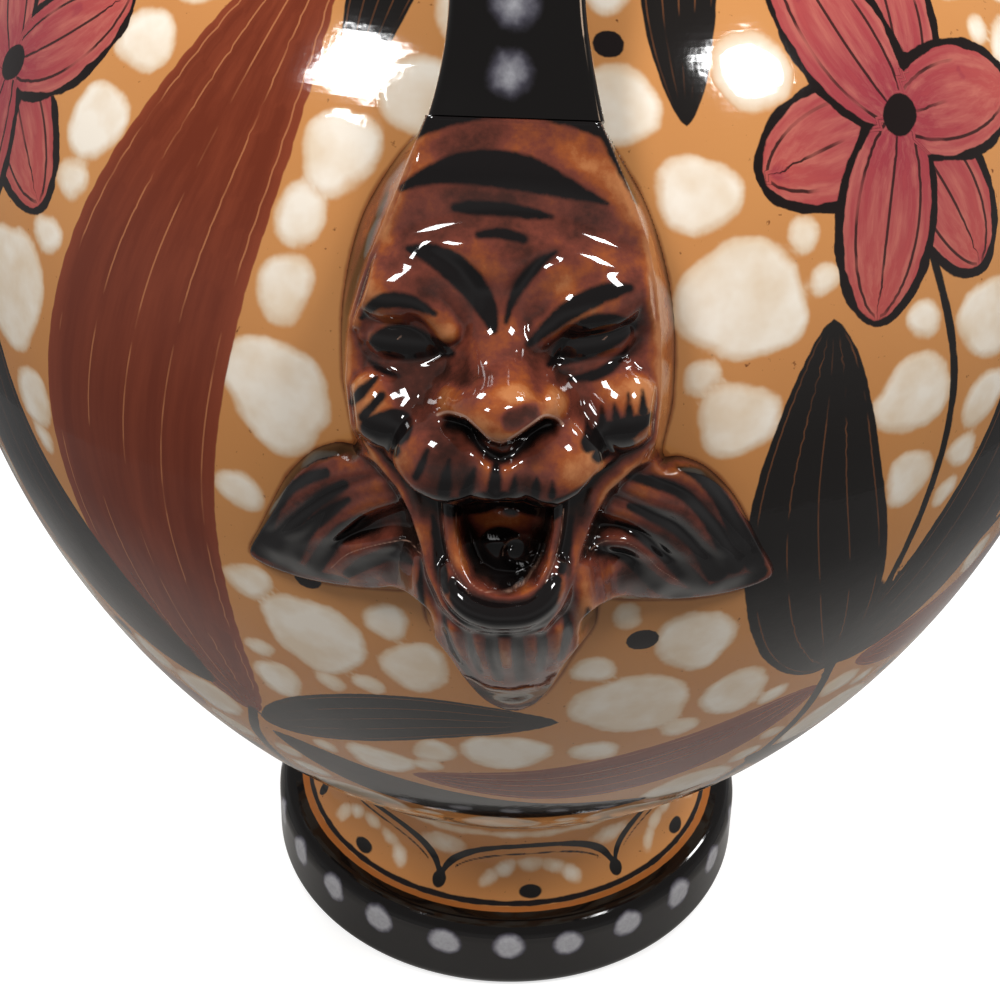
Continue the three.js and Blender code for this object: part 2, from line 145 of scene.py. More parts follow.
class VaseColours(bpy.types.PropertyGroup):
    """Colours of the slips and glazes."""

    ochre: colour("Ochre ground", "The orange-brown earthenware ground", "DA9A5C")
    cream: colour("Cream slip", "Blobs of pale slip", "FFF3E2")
    rust: colour("Rust leaf", "Large red-brown leaves", "722F1A")
    rust_light: colour("Thin rust", "Where the brush left the rust thin", "94452A")
    leaf_black: colour("Black leaf", "Near-black leaves and stems", "1B1715")
    petal: colour("Petal", "Dusty red blossoms", "B8524C")
    petal_deep: colour("Petal heart", "Petals near the heart of a blossom", "8C2B3F")
    ink: colour("Ink line", "Brush lines round the petals", "1A1110")
    slip_black: colour("Black slip", "Foot, lip and straps", "100D0C")
    dot: colour("Dot", "Pale grey dots on the black slip", "BDBCC0")
    treacle: colour("Treacle glaze", "Mask glaze at its usual thickness", "70372A")
    treacle_thin: colour("Thin treacle", "Mask glaze where it runs thin on ridges", "B27144")
    treacle_pool: colour("Pooled treacle", "Mask glaze where it pools in hollows", "1D120E")
    mask_black: colour("Mask black", "Black strokes painted on the masks", "120E0E")
    floor: colour("Floor", "Card under the vase", "B0AEAB")


# ---------------------------------------------------------------- profiles of the turned sections


def bezier(a, b, c, d, count):
    """Points along a cubic curve."""
    t = np.linspace(0, 1, count)[:, None]
    a, b, c, d = (np.array(p, float) for p in (a, b, c, d))
    return (1 - t) ** 3 * a + 3 * t * (1 - t) ** 2 * b + 3 * t * t * (1 - t) * c + t**3 * d


def evenly(points, step):
    """The same line with points a set distance apart."""
    points = np.array(points, float)
    run = np.concatenate([[0], np.cumsum(np.linalg.norm(np.diff(points, axis=0), axis=1))])
    at = np.linspace(0, run[-1], max(int(run[-1] / step), 1) + 1)
    return np.stack([np.interp(at, run, points[:, i]) for i in range(points.shape[1])], 1)


def inside(points, wall):
    """The line moved towards the axis by the wall's thickness."""
    along = np.gradient(points, axis=0)
    along /= np.linalg.norm(along, axis=1)[:, None]
    return points + np.stack([-along[:, 1], along[:, 0]], 1) * wall


def rounded(corners, radius, steps=5):
    """A line through the corners, each inner one rounded off."""
    corners = [np.array(c, float) for c in corners]
    out = [corners[0]]
    for a, b, c in zip(corners, corners[1:], corners[2:]):
        r = min(radius, 0.45 * np.linalg.norm(b - a), 0.45 * np.linalg.norm(c - b))
        start = b + (a - b) / np.linalg.norm(a - b) * r
        end = b + (c - b) / np.linalg.norm(c - b) * r
        for t in np.linspace(0, 1, steps):
            out.append((1 - t) ** 2 * start + 2 * t * (1 - t) * b + t * t * end)
    out.append(corners[-1])
    return np.array(out)


class Profiles:
    """Outer lines of the vase, as rows of radius and height in millimetres."""

    def __init__(self, sizes):
        mm = {name: getattr(sizes, name) / MM for name in sizes.__annotations__ if name != "round_steps"}
        self.belly, self.belly_z = mm["belly_radius"], mm["belly_height"]
        self.foot, self.foot_z = mm["foot_radius"], mm["foot_height"]
        self.waist, self.neck_r = mm["stem_radius"], mm["neck_radius"]
        self.lip_r, self.top = mm["lip_radius"], mm["total_height"]
        waist, base, root = self.waist, 42, self.top - 74
        self.stem = np.vstack([
            bezier((49.7, self.foot_z), (46.1, self.foot_z + 3.2), (waist, 27), (waist, 35), 40),
            [(waist + 0.3, base)]])
        self.under = bezier((waist + 0.3, base), (63.6, 48.8), (self.belly, self.belly_z - 66),
            (self.belly, self.belly_z), 200)
        self.shoulder = bezier((self.belly, self.belly_z), (self.belly, self.belly_z + 48),
            (78, root - 6), (40, root), 200)
        neck = self.neck_r
        self.neck = np.vstack([
            bezier((40, root), (neck + 2.2, root + 3.5), (neck, root + 14), (neck, root + 23), 40),
            bezier((neck, root + 23), (neck, root + 35), (36, root + 46), (40, root + 53), 40)[1:]])
        self.lip = bezier((40, root + 53), (44.4, root + 61), (self.lip_r - 1.5, self.top - 9),
            (self.lip_r, self.top - 2.6), 40)
        self.body = np.vstack([self.under, self.shoulder[1:]])

    def radius(self, z):
        """The belly's radius at a height."""
        return np.interp(z, self.body[:, 1], self.body[:, 0])

    def place(self, azimuth, z):
        """Points on the belly from degrees round (0 is the front) and height."""
        a, r = np.radians(azimuth), self.radius(z)
        return np.stack([r * np.sin(a), -r * np.cos(a), np.asarray(z, float) + 0 * a], -1)


# ---------------------------------------------------------------- node trees


def put(tree, kind, inputs=None, **settings):
    """Add one node. An input takes either the socket it is linked to or its own value."""
    node = tree.nodes.new(kind)
    for name, value in settings.items():
        setattr(node, name, value)
    for key, value in (inputs or {}).items():
        if isinstance(value, bpy.types.NodeSocket):
            tree.links.new(value, node.inputs[key])
        else:
            node.inputs[key].default_value = value
    return node.outputs


def new_tree(name, sockets):
    """A Geometry Nodes tree with a geometry input and output and the named inputs."""
    tree = bpy.data.node_groups.new(name, "GeometryNodeTree")
    tree.interface.new_socket("Path", in_out="INPUT", socket_type="NodeSocketGeometry")
    for label, kind in sockets:
        tree.interface.new_socket(label, in_out="INPUT", socket_type=kind)
    tree.interface.new_socket("Piece", in_out="OUTPUT", socket_type="NodeSocketGeometry")
    return tree, put(tree, "NodeGroupInput")


def finish_tree(tree, mesh, given):
    """Weld the seam, keep crisp corners, realise and set the glaze."""
    welded = put(tree, "GeometryNodeMergeByDistance", {"Geometry": mesh, "Distance": WELD})[0]
    angle = put(tree, "GeometryNodeInputMeshEdgeAngle")[0]
    soft = put(tree, "FunctionNodeCompare", {0: angle, 1: CRISP}, operation="LESS_THAN")[0]
    smooth = put(tree, "GeometryNodeSetShadeSmooth", {"Geometry": welded, "Shade Smooth": soft},
        domain="EDGE")[0]
    real = put(tree, "GeometryNodeRealizeInstances", {"Geometry": smooth})[0]
    glazed = put(tree, "GeometryNodeSetMaterial", {"Geometry": real, "Material": given["Glaze"]})[0]
    put(tree, "NodeGroupOutput", {0: glazed})
    return tree


def grid_over(tree, path, across):
    """A flat grid with one row for each point of the path: its share across, and the row's number."""
    rows = put(tree, "GeometryNodeAttributeDomainSize", {0: path}, component="MESH")[0]
    columns = put(tree, "ShaderNodeMath", {0: across, 1: 1.0}, operation="ADD")[0]
    grid = put(tree, "GeometryNodeMeshGrid",
        {"Size X": 1.0, "Size Y": 1.0, "Vertices X": columns, "Vertices Y": rows})[0]
    place = put(tree, "ShaderNodeSeparateXYZ", {0: put(tree, "GeometryNodeInputPosition")[0]})
    share = put(tree, "ShaderNodeMath", {0: place[0], 1: 0.5}, operation="ADD")[0]
    last = put(tree, "ShaderNodeMath", {0: rows, 1: 1.0}, operation="SUBTRACT")[0]
    up = put(tree, "ShaderNodeMath", {0: place[1], 1: 0.5}, operation="ADD")[0]
    row = put(tree, "ShaderNodeMath", {0: up, 1: last}, operation="MULTIPLY")[0]
    row = put(tree, "FunctionNodeFloatToInt", {0: row}, rounding_mode="ROUND")[0]
    return grid, share, row


def turned_tree():
    """Turns a profile about the vertical axis, with more steps towards the front."""
    tree, given = new_tree("Turned section", [
        ("Steps round", "NodeSocketInt"), ("Crowding", "NodeSocketFloat"), ("Glaze", "NodeSocketMaterial")])
    grid, share, row = grid_over(tree, given["Path"], given["Steps round"])
    point = put(tree, "GeometryNodeSampleIndex", {
        "Geometry": given["Path"], "Value": put(tree, "GeometryNodeInputPosition")[0], "Index": row},
        data_type="FLOAT_VECTOR", domain="POINT")[0]
    point = put(tree, "ShaderNodeSeparateXYZ", {0: point})
    turn = put(tree, "ShaderNodeMath", {0: share, 1: math.tau}, operation="MULTIPLY")[0]
    wave = put(tree, "ShaderNodeMath", {0: turn}, operation="SINE")[0]
    turn = put(tree, "ShaderNodeMath", {0: wave, 1: given["Crowding"], 2: turn}, operation="MULTIPLY_ADD")[0]
    sine = put(tree, "ShaderNodeMath", {0: turn}, operation="SINE")[0]
    cosine = put(tree, "ShaderNodeMath", {0: turn}, operation="COSINE")[0]
    x = put(tree, "ShaderNodeMath", {0: point[0], 1: sine}, operation="MULTIPLY")[0]
    y = put(tree, "ShaderNodeMath", {0: point[0], 1: cosine}, operation="MULTIPLY")[0]
    spot = put(tree, "ShaderNodeCombineXYZ", {0: x, 1: y, 2: point[2]})[0]
    turned = put(tree, "GeometryNodeSetPosition", {"Geometry": grid, "Position": spot})[0]
    return finish_tree(tree, turned, given)


def strap_tree():
    """Sweeps a rounded bar along a path in the plane x = 0, flaring where it meets the mask."""
    tree, given = new_tree("Handle strap", [
        ("Width", "NodeSocketFloat"), ("Thickness", "NodeSocketFloat"), ("Edge radius", "NodeSocketFloat"),
        ("Flare", "NodeSocketFloat"), ("Glaze", "NodeSocketMaterial")])
    line = put(tree, "GeometryNodeMeshToCurve", {"Mesh": given["Path"]})[0]
    line = put(tree, "GeometryNodeSetCurveNormal", {"Curve": line}, mode="Z_UP")[0]
    run = put(tree, "GeometryNodeSplineParameter")["Factor"]
    held = put(tree, "GeometryNodeCaptureAttribute", {"Geometry": line}, domain="POINT")[0].node
    held.capture_items.new("FLOAT", "Run")
    tree.links.new(run, held.inputs["Run"])
    bar = put(tree, "GeometryNodeCurvePrimitiveQuadrilateral",
        {"Width": given["Width"], "Height": given["Thickness"]}, mode="RECTANGLE")[0]
    bar = put(tree, "GeometryNodeFilletCurve", {"Curve": bar, "Radius": given["Edge radius"], "Count": 8},
        mode="POLY")[0]
    bar = put(tree, "GeometryNodeResampleCurve", {"Curve": bar, "Count": 132}, mode="COUNT")[0]
    swept = put(tree, "GeometryNodeCurveToMesh",
        {"Curve": held.outputs["Geometry"], "Profile Curve": bar, "Fill Caps": True})[0]
    near = put(tree, "ShaderNodeMapRange",
        {"Value": held.outputs["Run"], "From Min": FLARE_FROM, "From Max": 1.0})[0]
    near = put(tree, "ShaderNodeMath", {0: near, 1: FLARE_POWER}, operation="POWER")[0]
    wider = put(tree, "ShaderNodeMath", {0: near, 1: given["Flare"], 2: 1.0}, operation="MULTIPLY_ADD")[0]
    scale = put(tree, "ShaderNodeCombineXYZ", {0: wider, 1: 1.0, 2: 1.0})[0]
    spot = put(tree, "ShaderNodeVectorMath", {0: put(tree, "GeometryNodeInputPosition")[0], 1: scale},
        operation="MULTIPLY")[0]
    flared = put(tree, "GeometryNodeSetPosition", {"Geometry": swept, "Position": spot})[0]
    return finish_tree(tree, flared, given)


def grow(name, path, tree, values):
    """Run a tree on a path of points and keep the result as a plain mesh object."""
    line = bpy.data.meshes.new(name + "_path")
    line.from_pydata([tuple(p) for p in path], [(i, i + 1) for i in range(len(path) - 1)], [])
    maker = bpy.data.objects.new(name + "_maker", line)
    bpy.context.scene.collection.objects.link(maker)
    modifier = maker.modifiers.new("Grow", "NODES")
    modifier.node_group = tree
    for item in tree.interface.items_tree:
        if item.in_out == "INPUT" and item.name in values:
            modifier[item.identifier] = values[item.name]
    bpy.context.view_layer.update()
    evaluated = maker.evaluated_get(bpy.context.evaluated_depsgraph_get())
    mesh = bpy.data.meshes.new_from_object(evaluated)
    mesh.name = name
    maker.modifiers.clear()
    bpy.data.objects.remove(maker)
    bpy.data.meshes.remove(line)
    if not len(mesh.polygons):
        raise RuntimeError(f"{name}: the tree made no faces")
    piece = bpy.data.objects.new(name, mesh)
    bpy.context.scene.collection.objects.link(piece)
    turn_faces_out(mesh)
    return piece


def turn_faces_out(mesh):
    """Make every face look out of its closed piece."""
    shell = bmesh.new()
    shell.from_mesh(mesh)
    bmesh.ops.recalc_face_normals(shell, faces=shell.faces[:])
    shell.to_mesh(mesh)
    shell.free()


def points_of(mesh):
    """The mesh's points in millimetres."""
    flat = np.empty(len(mesh.vertices) * 3, np.float32)
    mesh.vertices.foreach_get("co", flat)
    return flat.reshape(-1, 3).astype(float) / MM


def store(mesh, **fields):
    """Keep brushwork on the mesh as attributes: one number, or three, for each point."""
    for name, values in fields.items():
        values = np.asarray(values, np.float32)
        kind = "FLOAT" if values.ndim == 1 else "FLOAT_VECTOR"
        attribute = mesh.attributes.new(name, kind, "POINT")
        attribute.data.foreach_set("value" if values.ndim == 1 else "vector", values.ravel())


def dress(piece, slot, *nodes):
    """The piece stands for these solids and moves with the vase. The slot is not used."""
    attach(piece, "root")
    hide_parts(*nodes)


# ---------------------------------------------------------------- brushwork as distances in millimetres


def smooth_line(points, count):
    """A smooth line through the points."""
    p = np.array(points, float)
    p = np.vstack([2 * p[0] - p[1], p, 2 * p[-1] - p[-2]])
    out = []
    for t in np.linspace(0, len(p) - 3, count):
        i = min(int(t), len(p) - 4)
        f = t - i
        a, b, c, d = p[i : i + 4]
        out.append(0.5 * (2 * b + (c - a) * f + (2 * a - 5 * b + 4 * c - d) * f * f
            + (3 * b - a - 3 * c + d) * f**3))
    return np.array(out)


def stroke(points, line, radii):
    """Distance of each point to a brush stroke laid along a line, and where along and across it lies.

    The result holds the distance to the edge (negative inside), the share along the stroke,
    the share across it from -1 to 1, and the stroke's half width there.
    """
    count = len(points)
    best = np.full(count, FAR)
    lay = np.zeros((count, 3))
    radii = np.broadcast_to(radii, len(line))
    reach = radii.max() + 14
    low, high = line.min(0) - reach, line.max(0) + reach
    near = np.where(((points > low) & (points < high)).all(1))[0]
    if not len(near):
        return best, lay
    p = points[near]
    found, where = np.full(len(near), FAR), np.zeros((len(near), 3))
    for i in range(len(line) - 1):
        a, step = line[i], line[i + 1] - line[i]
        span = max(step @ step, TINY)
        t = np.clip((p - a) @ step / span, 0, 1)
        off = p - a - t[:, None] * step
        radius = radii[i] + t * (radii[i + 1] - radii[i])
        away = np.linalg.norm(off, axis=1)
        closer = away - radius < found
        out = np.stack([a[0] + 0 * t, a[1] + 0 * t, 0.3 * np.hypot(a[0], a[1]) + 0 * t], 1)
        side = np.sign(np.einsum("ij,ij->i", off, np.cross(out, np.broadcast_to(step, out.shape))))
        found = np.where(closer, away - radius, found)
        across = side * away / np.maximum(radius, 0.3)
        share = np.stack([(i + t) / (len(line) - 1), across, radius], 1)
        where = np.where(closer[:, None], share, where)
    best[near], lay[near] = found, where
    return best, lay


def leaf_radii(count, width):
    """Half widths of a lance leaf, fullest a little below its middle."""
    t = np.linspace(0, 1, count)
    return np.maximum(width * (4 * t * (1 - t)) ** 0.72 * (1 + 0.3 * (0.5 - t)), 0.25)


def petal_radii(count, width):
    """Half widths of a petal, fullest towards its tip."""
    t = np.linspace(0, 1, count)
    return np.maximum(width * np.sin(np.pi * np.clip(0.08 + 0.92 * t**0.9, 0, 1)) ** 0.72, 0.3)


class Painting:
    """The painter's layers over the belly, each a distance to its edge in millimetres."""

    LAYERS = ("rust", "leaf", "petal", "bloom", "ink")
    LAID = LAYERS[:-1]

    def __init__(self, profiles, points):
        self.profiles, self.points = profiles, points
        self.edge = {layer: np.full(len(points), FAR) for layer in self.LAYERS}
        self.lay = {layer: np.zeros((len(points), 3)) for layer in self.LAID}

    def add(self, layer, spine, radii):
        """Lay a stroke on one layer, over what that layer holds already."""
        line = self.profiles.place(*smooth_line(spine, len(radii)).T)
        edge, lay = stroke(self.points, line, radii)
        closer = edge < self.edge[layer]
        self.edge[layer] = np.where(closer, edge, self.edge[layer])
        if layer in self.lay:
            self.lay[layer] = np.where(closer[:, None], lay, self.lay[layer])

    def blossom(self, azimuth, z, size, petals, start):
        """An even number of broad petals round a dark heart, every other one laid on top."""
        r = self.profiles.radius(z)
        for i in range(petals):
            turn = math.radians(start + 360 * i / petals)
            reach = size * (1 + 0.09 * math.sin(2.3 * i + azimuth))
            spine = []
            for share in (0.05, 0.4, 0.72, 1.0):
                bend = turn + 0.2 * share * math.sin(1.7 * i + start)
                spine.append((azimuth + math.degrees(reach * share * math.sin(bend) / r),
                    z + reach * share * math.cos(bend) * 0.97))
            self.add("bloom" if i % 2 else "petal", spine, petal_radii(24, size * 0.34))
        self.add("ink", [(azimuth, z), (azimuth + 0.5, z + 0.5)], np.full(4, size * 0.11))


# Each leaf: its layer, its spine as degrees round and height, and its half width
LEAVES = [
    ("rust", [(-26, 106), (-30, 134), (-31, 162), (-28, 192), (-23, 218), (-18, 242)], 17.0),
    ("rust", [(33, 116), (21, 103), (7, 96), (-9, 97)], 9.6),
    ("rust", [(37, 120), (50, 120), (63, 131), (73, 151)], 9.5),
    ("rust", [(-36, 98), (-49, 95), (-63, 102), (-76, 121)], 9.0),
    ("rust", [(-66, 132), (-74, 154), (-76, 180), (-71, 206)], 11.5),
    ("leaf", [(-30, 112), (-42, 130), (-49, 154), (-50, 184)], 12.5),
    ("leaf", [(-25, 104), (-16, 113), (-6, 119), (6, 120)], 7.6),
    ("leaf", [(32, 123), (28, 142), (25, 166), (25, 193)], 12.6),
    ("leaf", [(34, 123), (43, 142), (48, 166), (47, 194)], 12.2),
    ("leaf", [(-25, 100), (-13, 88), (3, 81), (20, 82)], 8.0),
    ("leaf", [(-5, 247), (-11, 237), (-13, 221)], 5.4),
    ("leaf", [(19, 246), (15, 234), (14, 219)], 5.4),
    ("leaf", [(31, 92), (44, 82), (58, 80), (72, 88)], 7.5),
    ("leaf", [(-32, 84), (-46, 76), (-60, 74), (-74, 80)], 7.0),
    ("leaf", [(84, 112), (76, 132), (73, 156), (75, 182)], 10.0),
    ("leaf", [(58, 204), (66, 214), (70, 228), (68, 244)], 6.0),
    ("leaf", [(-60, 196), (-58, 214), (-52, 230), (-44, 242)], 6.0),
    ("rust", [(28, 66), (40, 60), (54, 58), (68, 62)], 4.6),
    ("leaf", [(-20, 66), (-8, 61), (6, 58), (20, 60)], 4.4),
    ("leaf", [(-44, 60), (-56, 56), (-68, 56), (-80, 60)], 4.2),
]
# Each stem: its spine, and its half width at either end
STEMS = [
    ([(-26, 107), (-29, 92), (-29, 72), (-24, 54)], 1.0, 1.6),
    ([(33, 124), (34, 104), (32, 82), (27, 58)], 1.0, 1.6),
    ([(33, 120), (36, 150), (37, 178), (34, 202)], 0.9, 0.7),
    ([(39, 134), (52, 142), (58, 156), (59, 170)], 0.9, 0.6),
    ([(-33, 118), (-56, 132), (-62, 156), (-58, 190)], 0.9, 0.6),
    ([(84, 114), (82, 96), (78, 78), (74, 60)], 0.9, 1.5),
]
# Each blossom: degrees round, height, size, petals and first petal's turn; each berry: its place and radius
BLOSSOMS = [(33, 217, 25, 6, 24), (-50, 214, 25, 6, 4), (60, 182, 17, 4, 40), (90, 216, 24, 6, 12),
    (-90, 150, 24, 6, 30), (-90, 232, 17, 4, 20)]
BERRIES = [(12, 141, 2.3), (-15, 150, 2.0), (47, 106, 2.2), (-44, 112, 2.2), (8, 228, 1.9), (-86, 100, 2.2)]


def paint_belly(profiles, points):
    """Sprays of leaves and blossoms, laid once on the front and turned over for the back."""
    art = Painting(profiles, points)
    for turned in (False, True):
        def there(spine):
            return [(180 - a if turned else a, z) for a, z in spine]
        for layer, spine, width in LEAVES:
            art.add(layer, there(spine), leaf_radii(36, width * (0.96 if turned else 1)))
        for spine, start, end in STEMS:
            art.add("leaf", there(spine), np.linspace(start, end, 40) * (1.3 if turned else 1))
        for azimuth, z, size, petals, start in BLOSSOMS:
            if turned and abs(azimuth) == 90:
                continue
            art.blossom(180 - azimuth if turned else azimuth, z, size, petals, -start if turned else start)
        for azimuth, z, size in BERRIES:
            art.add("ink", there([(azimuth, z), (azimuth + 0.3, z)]), np.full(3, size))
    return art


def mask_gap(profiles, points):
    """Distance along the belly to the nearer mask's outline, positive outside it."""
    gap = np.full(len(points), FAR)
    outline = mask_rim()
    for turn in (1, -1):
        local = (points * np.array([turn, turn, 1]) - mask_origin(profiles)) @ MASK_AXES.T
        u, v = local[:, 0] - (MASK_TOP - local[:, 1]) * MASK_LEAN, local[:, 1]
        near = (np.abs(u) < 60) & (v > -70) & (v < 43) & (local[:, 2] > -DEEPEST)
        gap[near] = np.minimum(gap[near], -polygon_depth(u[near], v[near], outline))
    return gap


def pebbles(profiles, top):
    """Where the cream dabs lie: the biggest first, each in the room the rest leaves."""
    chance = np.random.default_rng(PEBBLE_SEED)
    z, azimuth = chance.uniform(47, top, PEBBLE_TRIES), chance.uniform(-180, 180, PEBBLE_TRIES)
    keep = chance.uniform(0, 1, len(z)) < profiles.radius(z) / profiles.belly
    spots = profiles.place(azimuth[keep], z[keep])
    art = paint_belly(profiles, spots)
    free = np.minimum.reduce([art.edge[layer] for layer in art.LAYERS] + [mask_gap(profiles, spots) - 0.6])
    centres, sizes = np.empty((0, 3)), np.empty(0)
    for size in (10.6, 9.2, 7.8, 6.6, 5.4, 4.4, 3.5, 2.7):
        for i in np.where(free > size * 0.8 + 0.5)[0]:
            if (np.linalg.norm(centres - spots[i], axis=1) < 0.91 * (sizes + size) + 0.2).any():
                continue
            centres = np.vstack([centres, spots[i]])
            sizes = np.append(sizes, size * chance.uniform(0.94, 1.04))
    return [(centre, size, chance.uniform(0, math.tau)) for centre, size in zip(centres, sizes)]


def paint_pebbles(points, placed):
    """Distance to the cream: each dab is three rounds run together."""
    edge = np.full(len(points), FAR)
    for spot, size, turn in placed:
        near = np.where(np.abs(points - spot).max(1) < size + 8)[0]
        if not len(near):
            continue
        out = np.array([spot[0], spot[1], 0]) / np.hypot(spot[0], spot[1])
        side = np.array([-out[1], out[0], 0])
        p = points[near] - spot
        best = np.linalg.norm(p, axis=1) - size * 0.84
        for k, share in enumerate((0.58, 0.5)):
            way = side * math.cos(turn + 2.4 * k) + np.array([0, 0, 1]) * math.sin(turn + 2.4 * k)
            lobe = np.linalg.norm(p - way * size * 0.5, axis=1) - size * share
            best = blend_min(best, lobe, 1.6)
        edge[near] = np.minimum(edge[near], best)
    return edge


# ---------------------------------------------------------------- glazes


def glaze(name, **shader):
    """A material with its shader's constants set on the shader itself."""
    material = bpy.data.materials.new(name)
    material.use_nodes = True
    tree = material.node_tree
    tree.nodes.clear()
    surface = put(tree, "ShaderNodeBsdfPrincipled")[0].node
    for key, value in shader.items():
        surface.inputs[key.replace("_", " ")].default_value = value
    put(tree, "ShaderNodeOutputMaterial", {"Surface": surface.outputs[0]})
    return material, tree, surface


def coat(tree, surface, base, height):
    """Give the shader its colour and the small unevenness of the glaze, in millimetres."""
    bump = put(tree, "ShaderNodeBump", {"Strength": 1.0, "Distance": MM, "Height": height})[0]
    tree.links.new(base, surface.inputs["Base Color"])
    tree.links.new(bump, surface.inputs["Normal"])


def paint_over(tree, below, above, edge, soft=0.12, ragged=None, amount=0.0):
    """Lay one colour over another where the distance is negative, with a soft or ragged brush edge."""
    if ragged is not None:
        shake = put(tree, "ShaderNodeMath", {0: ragged, 1: 0.5}, operation="SUBTRACT")[0]
        edge = put(tree, "ShaderNodeMath", {0: shake, 1: amount, 2: edge}, operation="MULTIPLY_ADD")[0]
    cover = put(tree, "ShaderNodeMapRange", {"Value": edge, "From Min": soft, "From Max": -soft},
                interpolation_type="SMOOTHSTEP")[0]
    mixed = put(tree, "ShaderNodeMix", {0: cover, 6: below, 7: above}, data_type="RGBA")[2]
    return mixed, cover


def colour_value(colours, name):
    """One of the panel's colours for a shader's socket."""
    return (*getattr(colours, name), 1.0)


def streaks(tree, lay, along, across):
    """Brush drag that runs along a stroke: marks per length and per width of the stroke."""
    drag = put(tree, "ShaderNodeVectorMath", {0: lay, 1: (along, across, 0.35)}, operation="MULTIPLY")[0]
    return put(tree, "ShaderNodeTexNoise",
        {"Vector": drag, "Scale": 1.0, "Detail": 4.0, "Roughness": 0.62})[0]


def ribs(tree, lay, every, half_mm, strength):
    """Thin lines that follow a leaf's shape from base to tip, broken where the brush lifted."""
    part = put(tree, "ShaderNodeSeparateXYZ", {0: lay})
    line = put(tree, "ShaderNodeMath", {0: part[1], 1: every}, operation="MULTIPLY")[0]
    line = put(tree, "ShaderNodeMath", {0: line, 1: 0.5}, operation="PINGPONG")[0]
    line = put(tree, "ShaderNodeMath", {0: line, 1: part[2]}, operation="MULTIPLY")[0]
    line = put(tree, "ShaderNodeMapRange",
        {"Value": line, "From Min": half_mm * every * 1.7, "From Max": half_mm * every * 0.7,
        "To Max": strength}, interpolation_type="SMOOTHSTEP")[0]
    broad = put(tree, "ShaderNodeMapRange", {"Value": part[2], "From Min": 2.2, "From Max": 5.0})[0]
    lifted = put(tree, "ShaderNodeTexNoise", {
        "Vector": put(tree, "ShaderNodeTexCoord")["Object"], "Scale": 1 / (15 * MM), "Detail": 2.0})[0]
    lifted = put(tree, "ShaderNodeMapRange", {"Value": lifted, "From Min": 0.40, "From Max": 0.50})[0]
    line = put(tree, "ShaderNodeMath", {0: line, 1: broad}, operation="MULTIPLY")[0]
    return put(tree, "ShaderNodeMath", {0: line, 1: lifted}, operation="MULTIPLY")[0]


